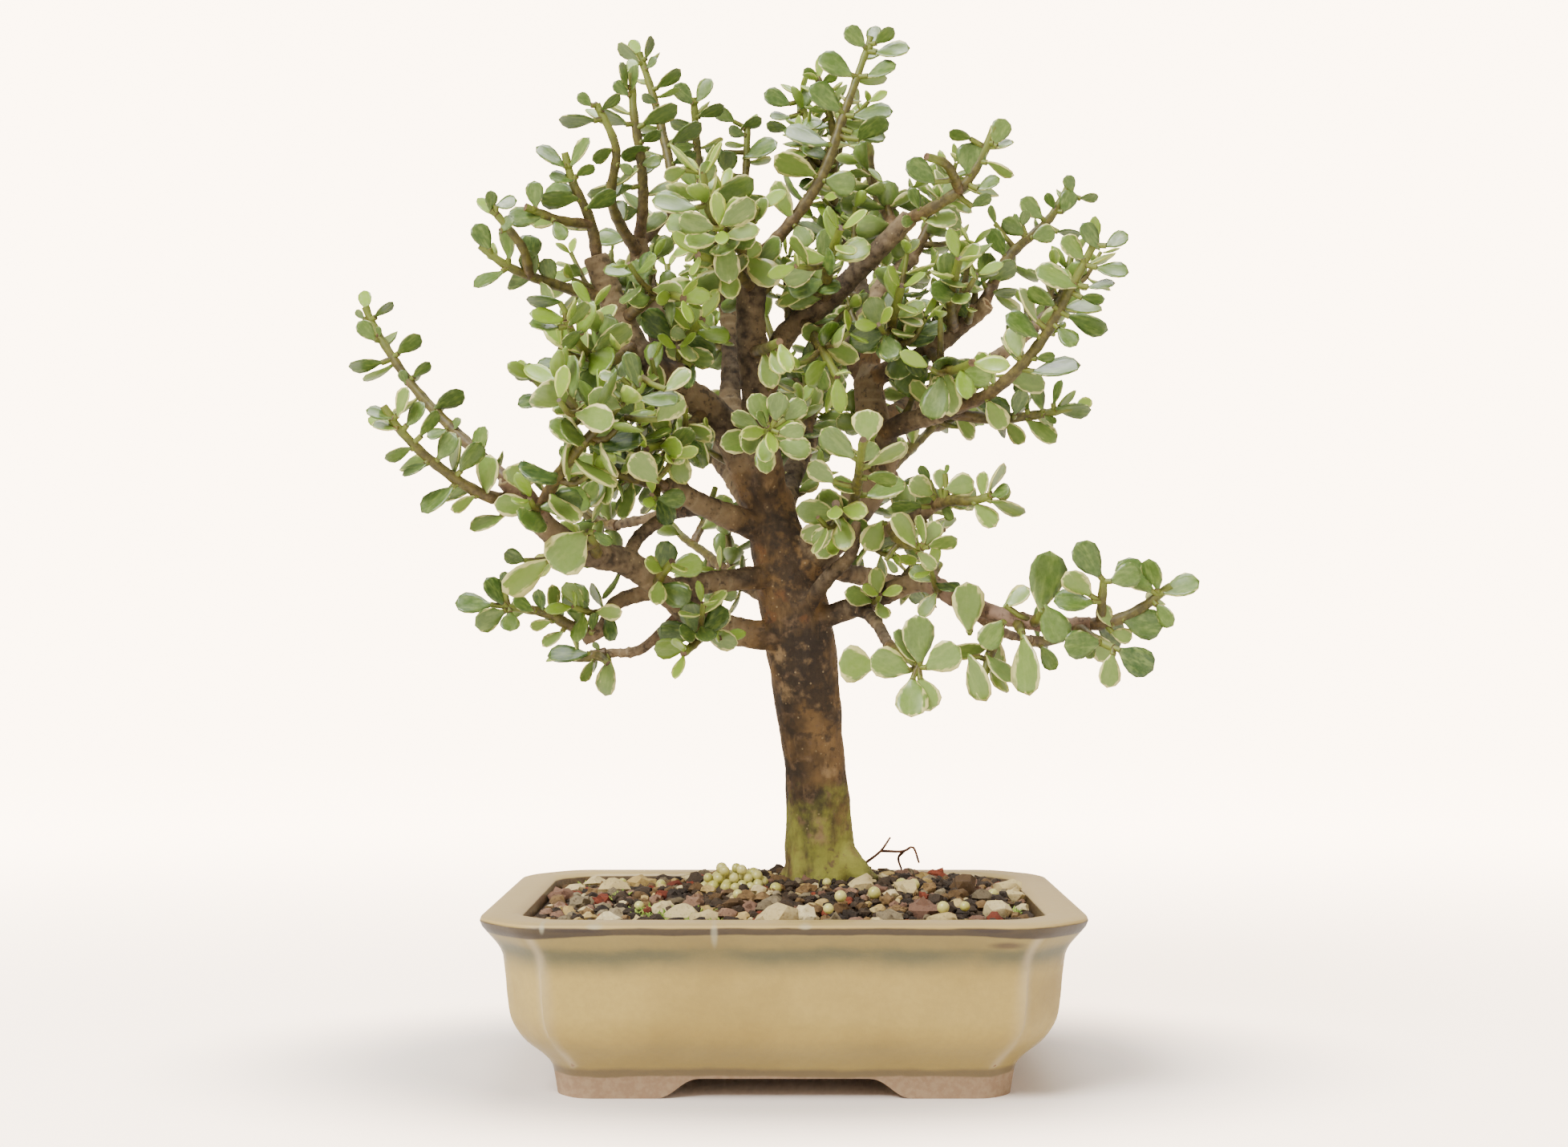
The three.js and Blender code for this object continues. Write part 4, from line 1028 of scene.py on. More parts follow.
# Leaves that show clearly, by shoot: pixels of the root and of the tip, and width, which tells the turn
POSED_LEAVES = {
    "apex": [
        (1080, 60, 1054, 34, 24), (1086, 60, 1088, 28, 20), (1090, 56, 1110, 30, 18),
        (1088, 66, 1135, 60, 17), (1066, 96, 1020, 70, 26), (1078, 96, 1118, 80, 16),
        (1050, 140, 1010, 106, 30), (1060, 145, 1114, 139, 18), (1038, 181, 976, 163, 18),
        (1058, 165, 1106, 158, 20), (1068, 177, 1120, 165, 22), (1020, 221, 972, 181, 30, 0.8),
        (1026, 225, 1068, 231, 34), (988, 277, 966, 225, 24, 0.8), (990, 280, 1008, 308, 30, 0.6),
    ],
    "top_left": [
        (785, 120, 765, 102, 18), (787, 115, 793, 80, 12), (784, 112, 768, 78, 10), (785, 157, 739, 137, 16),
        (799, 157, 845, 131, 20), (812, 184, 773, 195, 16), (799, 178, 824, 164, 14),
        (793, 233, 731, 243, 16), (797, 262, 770, 268, 20), (798, 205, 822, 190, 18),
    ],
    "top_left_back": [
        (805, 76, 812, 44, 9), (799, 80, 770, 54, 14), (817, 112, 849, 86, 14), (805, 86, 815, 68, 10),
        (835, 181, 875, 153, 18), (820, 130, 800, 118, 12), (838, 205, 868, 190, 16),
    ],
    "top_left_twig": [
        (739, 133, 720, 117, 16), (745, 151, 696, 149, 14), (749, 139, 773, 117, 12),
        (766, 185, 738, 200, 16), (770, 205, 790, 215, 14),
    ],
    "left_crown": [
        (707, 209, 668, 183, 16), (709, 209, 735, 171, 12), (717, 225, 684, 219, 14),
        (725, 249, 674, 233, 22), (717, 221, 737, 199, 14), (668, 261, 666, 225, 24),
        (678, 269, 632, 273, 26), (690, 274, 704, 300, 20), (730, 262, 768, 238, 20),
    ],
    "left_upper": [
        (612, 265, 612, 237, 16), (616, 257, 645, 250, 16), (612, 313, 592, 279, 26),
        (634, 327, 646, 281, 18), (630, 336, 590, 358, 12), (666, 348, 656, 312, 28),
        (690, 354, 678, 322, 26), (622, 290, 640, 270, 14), (672, 350, 690, 380, 16, 0.6),
    ],
    "middle_back": [
        (865, 131, 841, 105, 22), (867, 129, 887, 98, 18), (869, 147, 903, 131, 14), (917, 153, 891, 135, 18),
        (923, 161, 950, 147, 14), (925, 197, 970, 177, 20), (907, 219, 907, 187, 28),
        (866, 160, 835, 152, 14), (868, 180, 840, 186, 16), (930, 170, 920, 146, 12),
        (905, 190, 878, 184, 16),
    ],
    "top_right": [
        (1238, 182, 1254, 148, 28), (1241, 183, 1261, 170, 9), (1208, 220, 1213, 177, 42),
        (1213, 174, 1183, 164, 14), (1227, 201, 1265, 219, 9, 0.9), (1216, 237, 1247, 222, 15),
        (1169, 229, 1130, 201, 28), (1171, 251, 1193, 218, 18), (1210, 259, 1232, 237, 16),
        (1151, 275, 1195, 273, 22, 0.8), (1147, 262, 1135, 234, 16), (1141, 275, 1120, 277, 16),
    ],
    "right_cut_tip": [
        (1338, 241, 1330, 218, 17), (1324, 267, 1337, 237, 24), (1345, 248, 1370, 245, 12),
        (1315, 262, 1305, 240, 12), (1302, 274, 1272, 248, 22), (1285, 297, 1316, 288, 26),
        (1316, 289, 1348, 292, 10), (1278, 295, 1250, 273, 24), (1274, 284, 1263, 264, 14),
        (1253, 321, 1235, 284, 22), (1232, 352, 1267, 327, 24), (1224, 355, 1210, 314, 24),
        (1234, 366, 1268, 363, 12), (1241, 281, 1235, 255, 8),
    ],
    "right_long": [
        (1371, 311, 1349, 278, 22), (1376, 308, 1407, 292, 20), (1353, 325, 1324, 295, 25, 0.6),
        (1363, 333, 1408, 340, 18), (1345, 358, 1290, 336, 26, 0.6), (1353, 358, 1391, 353, 8),
        (1346, 371, 1378, 364, 14), (1317, 384, 1282, 358, 20), (1328, 393, 1382, 412, 22),
        (1317, 407, 1354, 411, 22), (1298, 421, 1253, 393, 24), (1271, 448, 1257, 404, 30, 0.8),
        (1295, 404, 1271, 358, 10, 0.9), (1282, 464, 1348, 455, 18), (1290, 448, 1316, 443, 14),
        (1241, 482, 1220, 438, 24, 0.9), (1230, 484, 1215, 448, 12, 0.9), (1230, 497, 1252, 536, 28, 0.9),
        (1189, 514, 1164, 469, 22, 0.9), (1167, 514, 1150, 465, 20, 0.7),
    ],
    "right_long_low": [
        (1313, 511, 1361, 511, 17), (1312, 506, 1324, 473, 8), (1301, 514, 1297, 474, 17),
        (1282, 514, 1282, 469, 11), (1265, 519, 1269, 482, 22), (1279, 522, 1317, 552, 22, 0.6),
        (1252, 525, 1278, 552, 20, 0.7), (1301, 517, 1317, 528, 9),
    ],
    "left_tip_high": [
        (470, 426, 446, 401, 22), (454, 399, 444, 386, 10), (466, 397, 490, 376, 9), (472, 420, 477, 406, 8),
        (494, 443, 524, 417, 20), (480, 452, 434, 457, 14), (514, 472, 536, 451, 13),
        (507, 480, 507, 460, 14), (540, 512, 578, 487, 22), (559, 537, 575, 522, 10),
        (559, 535, 532, 545, 14), (591, 575, 605, 531, 17),
    ],
    "left_tip_low": [
        (491, 522, 456, 511, 15), (494, 522, 508, 482, 15, 0.7), (496, 535, 463, 529, 11, 0.7),
        (505, 533, 529, 502, 18), (523, 547, 545, 511, 14), (516, 558, 479, 572, 14),
        (534, 577, 497, 582, 10), (544, 575, 568, 540, 24), (572, 591, 600, 551, 24),
        (605, 619, 611, 566, 28, 0.7), (568, 604, 525, 639, 20), (595, 618, 557, 626, 15, 0.8),
        (630, 642, 585, 660, 17, 0.6), (653, 614, 649, 573, 50, 0.95),
    ],
    "drop_rosette": [
        (1148, 831, 1142, 766, 42), (1151, 835, 1201, 806, 42), (1138, 838, 1085, 819, 42),
        (1093, 831, 1045, 826, 50), (1144, 826, 1119, 779, 14), (1146, 842, 1160, 887, 40),
        (1138, 842, 1136, 899, 44),
    ],
    "rosette_low": [
        (958, 531, 937, 491, 29), (966, 528, 972, 486, 30), (976, 525, 1004, 500, 29),
        (948, 535, 912, 515, 22), (958, 533, 940, 511, 12), (955, 550, 921, 543, 28),
        (968, 540, 1004, 536, 24), (966, 552, 1012, 564, 30),
    ],
    "front_shoot": [
        (1080, 552, 1082, 510, 42), (1068, 574, 1024, 535, 32), (1080, 583, 1130, 552, 16),
        (1042, 603, 1008, 577, 28), (1076, 613, 1036, 600, 18), (1076, 619, 1130, 602, 24),
        (1074, 577, 1092, 552, 26), (1068, 632, 1014, 634, 26), (1078, 596, 1120, 585, 20),
    ],
    "arm_leaf_near": [(1209, 791, 1205, 725, 42)],
    "arm_leaf_high": [
        (1298, 766, 1309, 686, 46), (1250, 757, 1284, 733, 22, 0.9), (1300, 752, 1326, 801, 40),
    ],
    "arm_leaf_low": [(1275, 789, 1284, 868, 34), (1252, 772, 1224, 808, 34, 0.5)],
    "arm_twig_hang": [(1207, 814, 1230, 875, 28), (1229, 814, 1252, 860, 22)],
    "arm_twig_tip": [(1296, 804, 1317, 835, 20), (1306, 790, 1300, 778, 12)],
    "arm_tip": [
        (1374, 722, 1342, 676, 36), (1362, 745, 1331, 704, 32, 0.8), (1367, 750, 1313, 750, 26),
        (1382, 726, 1422, 712, 34), (1440, 740, 1402, 692, 34), (1446, 740, 1496, 724, 28),
        (1397, 772, 1450, 782, 42), (1444, 738, 1442, 692, 24), (1440, 752, 1469, 777, 22),
        (1384, 788, 1414, 796, 22, 0.9), (1386, 782, 1372, 754, 20, 0.8),
    ],
    "arm_tip_low": [
        (1374, 800, 1326, 806, 38), (1388, 812, 1380, 858, 28, 0.7), (1392, 808, 1438, 836, 40, 0.05),
        (1362, 798, 1356, 822, 16),
    ],
    "left_front": [
        (732, 662, 688, 709, 60), (686, 697, 626, 738, 34), (656, 700, 628, 690, 22, 0.2),
        (739, 662, 762, 680, 14, 0.3),
    ],
    "left_middle_tip": [
        (616, 754, 567, 752, 26), (632, 761, 588, 776, 30), (630, 756, 606, 720, 24, 0.1),
        (636, 761, 636, 791, 26), (668, 762, 635, 753, 18), (676, 764, 671, 734, 16, 0.1),
        (691, 770, 688, 728, 15, 0.8), (689, 775, 660, 781, 14, 0.8), (704, 785, 676, 806, 14, 0.8),
        (722, 782, 752, 734, 36), (739, 787, 734, 762, 14), (628, 732, 630, 712, 14, 0.1),
    ],
    "left_drop": [
        (737, 814, 682, 818, 20, 0.1), (741, 822, 724, 850, 13, 0.6), (760, 819, 743, 867, 25, 0.6),
        (748, 812, 740, 800, 8),
    ],
    "near_pale": [
        (873, 260, 812, 250, 24, 0.4), (868, 236, 852, 206, 22, 0.5), (875, 234, 887, 200, 24, 0.5),
        (858, 211, 827, 221, 20, 0.7), (886, 254, 940, 223, 30, 0.4), (893, 286, 846, 272, 30, 0.5),
        (897, 284, 941, 250, 32, 0.6), (912, 302, 864, 326, 26, 0.4), (915, 326, 949, 303, 22, 0.9),
        (941, 279, 955, 246, 16, 0.6),
    ],
    "apex_back": [
        (988, 131, 952, 116, 22), (994, 140, 1008, 112, 20), (988, 146, 959, 145, 9),
        (985, 163, 955, 154, 14), (1029, 150, 1005, 160, 8), (1022, 100, 1002, 86, 14),
        (1024, 104, 1044, 92, 12),
    ],
    "right_mid_tip": [
        (1165, 619, 1131, 595, 30, 0.8), (1160, 601, 1147, 580, 12, 0.2), (1173, 612, 1172, 584, 20, 0.7),
        (1178, 592, 1183, 579, 6), (1176, 612, 1215, 600, 33, 0.7), (1176, 622, 1208, 632, 16, 0.8),
        (1171, 628, 1195, 643, 14), (1224, 622, 1227, 587, 15, 0.8), (1232, 617, 1238, 572, 8, 0.8),
        (1234, 618, 1253, 594, 14), (1237, 618, 1262, 609, 16, 0.8), (1214, 626, 1242, 657, 26, 0.8),
        (1232, 624, 1273, 653, 14, 0.6), (1152, 632, 1110, 630, 16),
    ],
    "right_mid_low": [
        (1144, 684, 1113, 640, 26, 0.9), (1102, 648, 1108, 695, 30, 0.95), (1103, 697, 1120, 713, 10, 0.4),
        (1153, 681, 1170, 650, 26, 0.9), (1155, 683, 1191, 661, 19), (1151, 680, 1141, 640, 9, 0.6),
        (1142, 687, 1168, 709, 18, 0.8),
    ],
    "pink": [
        (797, 484, 781, 438, 22), (793, 496, 848, 500, 18), (816, 526, 856, 495, 34, 0.8),
        (777, 508, 733, 493, 34, 0.6), (728, 556, 685, 524, 26, 0.6), (736, 556, 803, 548, 24, 0),
        (778, 472, 745, 478, 14, 0.6), (826, 488, 862, 462, 20, 0.8), (730, 502, 688, 512, 20, 0.8),
    ],
    "left_near": [
        (700, 409, 659, 403, 13), (703, 378, 656, 388, 12, 0.1), (708, 409, 733, 376, 18, 0.5),
        (728, 413, 694, 425, 18), (738, 440, 787, 405, 27, 0.5), (717, 470, 670, 472, 28),
        (713, 454, 668, 455, 12, 0.1),
    ],
    "left_side": [
        (683, 494, 645, 505, 17, 0.1), (664, 474, 641, 467, 8, 0.3), (676, 474, 654, 454, 12, 0.3),
        (700, 500, 702, 480, 14), (730, 520, 742, 500, 18, 0.4), (760, 516, 780, 530, 16, 0.2),
    ],
    "left_top_tip": [
        (780, 590, 760, 560, 32, 0), (770, 594, 713, 577, 26), (778, 597, 742, 622, 12, 0.4),
        (746, 596, 729, 624, 24, 0.5), (726, 613, 686, 604, 20, 0.7), (698, 612, 680, 638, 18),
        (735, 633, 690, 632, 13, 0.7), (716, 580, 690, 566, 14),
    ],
    "left_leader_low": [
        (822, 603, 785, 565, 38, 0.8), (828, 575, 853, 562, 28, 0.8), (828, 565, 822, 604, 14, 0.8),
        (830, 542, 803, 551, 19), (860, 533, 888, 538, 18, 0.95),
    ],
    "left_inner_side": [
        (868, 447, 832, 425, 36, 0.8), (872, 437, 885, 388, 22, 0.5), (864, 453, 857, 485, 16, 0.1),
        (858, 420, 836, 412, 22, 0.6),
    ],
}
# Round windows of open background among the leaves: pixel and radius
WINDOWS = [
    (1216, 689, 34), (863, 674, 23), (653, 540, 31), (1161, 557, 22), (683, 559, 21), (783, 884, 37),
    (893, 603, 17),
    (1235, 554, 19), (689, 880, 46), (893, 842, 31), (1266, 575, 22), (1199, 697, 27), (1205, 441, 12),
    (1329, 433, 15),
    (674, 428, 15), (1119, 584, 12), (1029, 613, 11), (1256, 687, 35), (659, 682, 10), (1208, 664, 17),
    (586, 638, 16),
    (836, 338, 10), (1296, 382, 10), (1302, 596, 42), (748, 183, 13), (1109, 193, 17), (878, 477, 10),
    (584, 535, 13),
    (960, 275, 10), (567, 704, 38), (798, 785, 12), (1008, 651, 10), (743, 252, 10), (611, 493, 35),
    (1390, 670, 23),
    (716, 892, 36), (1243, 393, 10),
]
# Limbs that show bare among the leaves, and how far leaves keep from each point of their routes
BARE_LIMBS = ("left_cut", "left_inner", "middle_cut", "middle_right", "right_cut", "left_leader")
BARE_RADIUS = 13
WINDOW_MARGIN = 6
WINDOWS += [(across, down, BARE_RADIUS) for name in BARE_LIMBS for across, down, _ in BRANCHES[name]["route"]]


def shows_in_window(root, tip):
    """Whether a leaf or a twig would show in one of the windows."""
    for share in (0.5, 0.85):
        point = root.lerp(tip, share)
        scale = (EYE_DISTANCE + point.y - POT_MIDDLE.y) / FOCAL_PIXELS
        across = (point.x - POT_MIDDLE.x) / scale + EYE_PIXEL[0]
        down = EYE_PIXEL[1] - (point.z - EYE_HEIGHT) / scale
        if any(math.hypot(across - x, down - y) < radius + WINDOW_MARGIN for x, y, radius in WINDOWS):
            return True
    return False


# How far a posed leaf turns for its width, and how far in front of its stem it tries to stand, in millimetres
POSED_TURN = 0.9
POSED_NEARER = (1, 5, 9, 14)
# Beside posed leaves, others grow only where they point at least this much backwards
BACKWARDS = 0.2
# Shoots that keep their side twigs though some of their leaves are posed, and those that have none
BUSHY_SHOOTS = {
    "near_pale", "apex_back", "pink", "left_near", "left_side", "left_top_tip", "left_leader_low",
    "left_inner_side",
    "rosette_low",
}
PLAIN_SHOOTS = {*POSED_LEAVES, "back_right_tip", "back_low_tip"} - BUSHY_SHOOTS
# Shoots whose leaves are all pale, and how pale at least: partly the wide cream margins of their leaves,
# partly painted light on these near, brightly lit shoots
PALE_SHOOTS = {
    "drop_rosette": 0.62, "rosette_low": 0.55, "rosette_high": 0.5, "front_shoot": 0.55, "arm_leaf_near": 0.6,
    "arm_leaf_low": 0.7, "arm_twig_hang": 0.5, "left_front": 0.85, "front_shoot_low": 0.5,
    "right_mid_low": 0.4,
    "near_pale": 0.45, "near_pale_low": 0.4,
}
POSED_SHADE = 0.3
STALK_FROM = 0.8 * MM
STALK_RADII = [0.9, 0.7]
STALK_SHARE = 0.1
# Side twigs: how far apart, how long, how clear of others, the share that grows, and up to where on the stem
TWIG_SPACING = 12 * MM
TWIG_LENGTH = (9 * MM, 17 * MM)
TWIG_CLEARANCE = 2.2 * MM
TWIG_SHARE = 0.86
TWIG_REACH = 0.66
TWIG_OUT = 2 * MM
TWIG_BARE = 2 * MM
TWIG_LEAN = (0.7, 1.15)
TWIG_RISE = (0.1, 0.55)
TWIG_RADII = (1, 1.3, 0.65)
TWIG_THINNING = 0.7
BRANCHLET_THINNING = 0.8
TWIG_LEAF = 0.86
# Sprouts on the woody branches: how many on each, along which part of it, and how their leaves measure
SPROUT_STEP = 3 * MM
SPROUT_BARE = 8 * MM
SPROUT_ALONG = (0.25, 0.97)
SPROUT_TRIES = 3
SPROUT_LEAF = 9.5
FULL_TURN = 6.3
ROOM_STEP = 5 * MM
# The owner of the woody branches' room, where each shoot's owner is its number
WOOD = -1
SPROUTING = {
    "left_leader": 3, "left_cut": 4, "left_inner": 5, "dark_middle": 5, "middle_cut": 4, "middle_right": 5,
    "right_leader": 3, "right_cut": 5, "right_back": 5, "hub_left": 5, "right_low": 3, "right_far": 5,
    "left_top": 1, "left_low": 2, "right_mid": 2, "right_behind": 2, "right_arm": 2, "back_left": 4,
    "back_middle": 4, "back_right": 4, "back_low": 3, "left_middle": 1,
}


def side_twig(path, thick, share, turn, random):
    """A short twig that leaves a stem at a share of its length and bends up a little."""
    place = share * (len(path) - 1)
    below = min(int(place), len(path) - 2)
    root = path[below].lerp(path[below + 1], place - below)
    ahead = (path[below + 1] - path[below]).normalized()
    out = turned(ahead.cross(Vector((0, 0, 1))).normalized(), ahead, turn)
    lean = random.uniform(*TWIG_LEAN)
    heading = ahead * math.cos(lean) + out * math.sin(lean)
    long = random.uniform(*TWIG_LENGTH)
    bend = Vector((0, 0, 1)) * random.uniform(*TWIG_RISE) * long
    points = [root, root + heading * 0.5 * long, root + heading * long + bend]
    thinnest, thickest, tip = TWIG_RADII
    start = max(thinnest, min(thickest, thick[below] / MM * TWIG_THINNING))
    made = smooth_route(points, SHOOT_STEP)
    return made, spread_radii([start, tip], len(made))


def finds_room(path, room, owner, bare):
    """Whether a twig keeps clear of every other stem, and stays within the plant's reach."""
    tip = path[-1]
    if out_of_reach(tip, TWIG_OUT) or (tip - path[0]).length <= bare or shows_in_window(path[0], tip):
        return False
    points = np.array([point for point in path if (point - path[0]).length > bare])
    gaps = np.linalg.norm(points[:, None] - room.middles[None], axis=-1) - room.radii[None]
    others = room.owners != owner
    return bool((gaps[:, others] > TWIG_CLEARANCE).all()) and bool((gaps[-2:] > TWIG_CLEARANCE).all())


def posed_leaf(row, depth, usual, turn_way, random):
    """A leaf that shows clearly, at its pixels and a depth, turned to look as wide as it should."""
    across, down, tip_across, tip_down, width, *shade = row
    root = on_sight(across, down, depth)
    along = on_sight(tip_across, tip_down, depth - 1) - root
    length = along.length
    along.normalize()
    view = (EYE - root).normalized()
    face = (view - along * view.dot(along)).normalized()
    natural = 2 * LEAF_FORMS["broad"][5] * math.hypot(tip_across - across, tip_down - down)
    turn = POSED_TURN * math.acos(min(1, width / natural)) * turn_way
    tint = shade[0] if shade else min(1, usual * random.uniform(0.6, 1.4))
    return squared({
        "root": root, "along": along, "across": along.cross(turned(face, along, turn)), "length": length,
        "youth": 0.3, "form": "broad", "wide": max(1, width / natural), "tint": tint,
    })


def grow_posed_leaves(shoot, room, owner, random):
    """Posed leaves on short stalks from a stem's nearest point, nearer the eye where wood is in front."""
    points = [point for path, _ in shoot["stems"] for point in path]
    depths = [(point.y - POT_MIDDLE.y) / MM for point in points]
    usual = PALE_SHOOTS.get(shoot["name"], POSED_SHADE)
    for number, row in enumerate(POSED_LEAVES[shoot["name"]]):
        nearest = min(range(len(points)), key=lambda i: (on_sight(*row[:2], depths[i]) - points[i]).length)
        foot = points[nearest]
        for nearer in POSED_NEARER:
            leaf = posed_leaf(row, depths[nearest] - nearer, usual, (-1) ** number, random)
            leaf = settled(leaf, room, owner)
            if leaf:
                shoot["leaves"].append(leaf)
                room.add_leaf(leaf, owner)
                root = leaf["root"]
                stalk = [foot, foot.lerp(root, 0.5), root + leaf["along"] * STALK_SHARE * leaf["length"]]
                if (root - foot).length > STALK_FROM:
                    shoot["stems"].append((stalk, spread_radii(STALK_RADII, len(stalk))))
                break


def add_twig(shoot, twig, room, owner):
    shoot["stems"].append(twig)
    room.add_stem(*twig, owner)
    room.close_stems()


def set_out_shoots(room):
    """Every shoot's own stems, with the room they take."""
    shoots = []
    for number, (name, made) in enumerate(SHOOTS.items()):
        radii = made.get("radii", STEM_RADII)
        routes = [(made["route"], radii)]
        routes += [(twig, [radii[0] * BRANCHLET_THINNING, radii[1]]) for twig in made.get("twigs", [])]
        stems = []
        for route, widths in routes:
            path = smooth_route([on_sight(*point) for point in route], SHOOT_STEP)
            thick = spread_radii(widths, len(path))
            room.add_stem(path, thick, number)
            stems.append((path, thick))
        shoots.append({"name": name, "made": made, "stems": stems, "leaves": []})
    room.close_stems()
    return shoots


def grow_side_twigs(shoots, room):
    """Pairs of side twigs up the stems of the bushy shoots, where they find room."""
    for number, shoot in enumerate(shoots):
        if shoot["made"].get("open") or shoot["name"] in PLAIN_SHOOTS:
            continue
        random = Random(709 + number)
        for path, thick in list(shoot["stems"]):
            count = int(length_of(path) / TWIG_SPACING)
            turn = random.uniform(0, math.pi)
            for i in range(count):
                for side in (0, math.pi):
                    share = TWIG_REACH * (i + random.uniform(0.4, 1)) / count
                    twig = side_twig(path, thick, share, turn + i * math.pi / 2 + side, random)
                    if random.random() < TWIG_SHARE and finds_room(twig[0], room, number, TWIG_BARE):
                        add_twig(shoot, twig, room, number)


def wood_sprouts(room):
    """Short twigs straight from the woody branches, where they find room."""
    sprouts = {"name": "wood_sprouts", "made": {"leaf": SPROUT_LEAF}, "stems": [], "leaves": []}
    random = Random(31)
    for name, count in SPROUTING.items():
        made = BRANCHES[name]
        path = smooth_route([on_sight(*point) for point in made["route"]], SPROUT_STEP)
        thick = spread_radii(made["radii"], len(path))
        for _ in range(SPROUT_TRIES * count):
            share = random.uniform(*SPROUT_ALONG)
            twig = side_twig(path, thick, share, random.uniform(0, FULL_TURN), random)
            if finds_room(twig[0], room, WOOD, SPROUT_BARE):
                add_twig(sprouts, twig, room, len(SHOOTS))
                count -= 1
            if not count:
                break
    return sprouts


def grow_leaves(room):
    """Every shoot's stems, their side twigs, and the leaves that find room on them."""
    shoots = set_out_shoots(room)
    grow_side_twigs(shoots, room)
    shoots.append(wood_sprouts(room))
    for number, shoot in enumerate(shoots):
        random = Random(101 + 37 * number)
        made = shoot["made"]
        mains = 1 + len(made.get("twigs", [])) if "route" in made else 0
        grown_on = list(shoot["stems"])
        if shoot["name"] in POSED_LEAVES:
            grow_posed_leaves(shoot, room, number, random)
        for i, (path, _) in enumerate(grown_on):
            bare = BARE_START if i == 0 else BARE_TWIG
            size = made["leaf"] * MM * (1 if i < mains else TWIG_LEAF)
            # Paler leaves on the pale shoots: cream variegation, with painted light on the near shoots
            pale = PALE_SHOOTS.get(shoot["name"])
            for leaf in wanted_leaves(path, size, made.get("open", False), random, bare, pale):
                forward = leaf["along"].y < BACKWARDS and shoot["name"] in POSED_LEAVES
                tip = leaf["root"] + leaf["along"] * leaf["length"]
                if shows_in_window(leaf["root"], tip) or forward and shoot["name"] in PLAIN_SHOOTS:
                    continue
                grown = settled(leaf, room, number)
                if grown:
                    shoot["leaves"].append(grown)
                    room.add_leaf(grown, number)
    return shoots


def leaf_copy(model, leaf, name):
    copy = own_copy(model, name)
    axes = Matrix((leaf["across"] * leaf.get("wide", 1), leaf["along"], leaf["face"])).transposed()
    copy.matrix_world = Matrix.Translation(leaf["root"]) @ (axes * leaf["length"]).to_4x4()
    points = len(copy.data.vertices)
    copy.data.attributes["tint"].data.foreach_set("value", [leaf["tint"]] * points)
    copy.data.attributes["youth"].data.foreach_set("value", [leaf["youth"]] * points)
    return copy


NODE_SWELL = 1.14
# From which youth a leaf takes the young form, and up to which tint the broad one
YOUNG_FROM = 0.8
BROAD_BELOW = 0.55


def noded(radii, leaf_length):
    """Radii with a low ring at each pair of leaves."""
    spacing = leaf_length * LEAF_SPACING
    made = []
    for i, radius in enumerate(radii):
        along = i * SHOOT_STEP - BARE_START
        off = abs(along / spacing - round(along / spacing))
        made.append(radius * (NODE_SWELL if off * spacing < SHOOT_STEP / 2 else 1))
    return made


def shoot_piece(shoot, models, finishes):
    """A shoot's stems and leaves joined into one piece."""
    stems = []
    for path, radii in shoot["stems"]:
        stem = stem_curve("stem", path, noded(radii, shoot["made"]["leaf"] * MM), STEM_ROUNDNESS)
        stem = made_mesh([stem], "stem")
        around = len(stem.data.vertices) // len(path)
        values = [min(1, i // around / (len(path) - 1)) for i in range(len(stem.data.vertices))]
        give_values(stem, "youth", values)
        stem.data.materials.append(finishes["stem"])
        stems.append(stem)
    leaves = []
    for leaf in shoot["leaves"]:
        form = "young" if leaf["youth"] > YOUNG_FROM else "broad" if leaf["tint"] < BROAD_BELOW else "oval"
        form = leaf.get("form", form)
        leaves.append(leaf_copy(models[form], leaf, "leaf"))
    piece = joined([*stems, *leaves], "leafy_" + shoot["name"])
    nodes = ["shoot_" + shoot["name"]] if shoot["name"] in SHOOTS else []
    return finish_piece(piece, "leaf", *nodes)


# Pot: heights of the outer wall from the rim down, and of the inner wall, each with how far it stands in
CORNER_CUT = 14 * MM
CORNER_SOFT = (6.6 * MM, 3.6 * MM, 5 * MM)
SOFT_INSETS = (0, 7 * MM, 10 * MM)
CORNER_DRIFT = 0.62
RIDGE = 1 * MM
RIDGE_REACH = 2.6 * MM
OUTER_WALL = [
    (48.8, 0), (47.4, 0.5), (45, 2.4), (41, 5.4), (35, 7), (28, 7.8),
    (21.5, 8.8), (16, 11.6), (11.5, 15.8), (8.4, 18.4), (4, 19.4), (0, 20),
]
INNER_WALL = [(49.7, 0.3), (50, 0.9), (50, 9.6), (49.6, 10.6), (48, 11.3), (30, 12.5), (17, 15.5), (12, 20.5)]
FOOT_HEIGHT = 5.6 * MM
ARCH_HALF_WIDTH = 35 * MM
SIDE_ARCH_HALF_WIDTH = 22 * MM
ARCH_CURL = 12 * MM
UNDERSIDE_INSET = 29 * MM
DRAIN_RADIUS = 6 * MM
DRAIN_SPACING = 62 * MM
DRAIN_SIDES = 32
POT_SMOOTH = math.radians(35)
DRAIN_CUTTER = 60 * MM
WALL_STEP = 1.6
UNDERSIDE_ROUND = 6 * MM
FOOT_CURL = 5 * MM
CURVE_FINENESS = 8
MERGE_DISTANCE = 1e-5
# The ridges beside each cut corner, and the inner wall painted dark, partly its own darker colour and partly
# painted shade: low and high ends, in millimetres
RIDGE_HEIGHTS = (12, 40)
RIDGE_MARKED = (8, 47)
INNER_DARK_AND_SHADE_HEIGHTS = (20, 49.2)
INNER_DARK_AND_SHADE_INSET = 9.4 * MM
RIDGE_FULLNESS = 0.6
MOST_SOFT = 0.42 * math.sqrt(2)


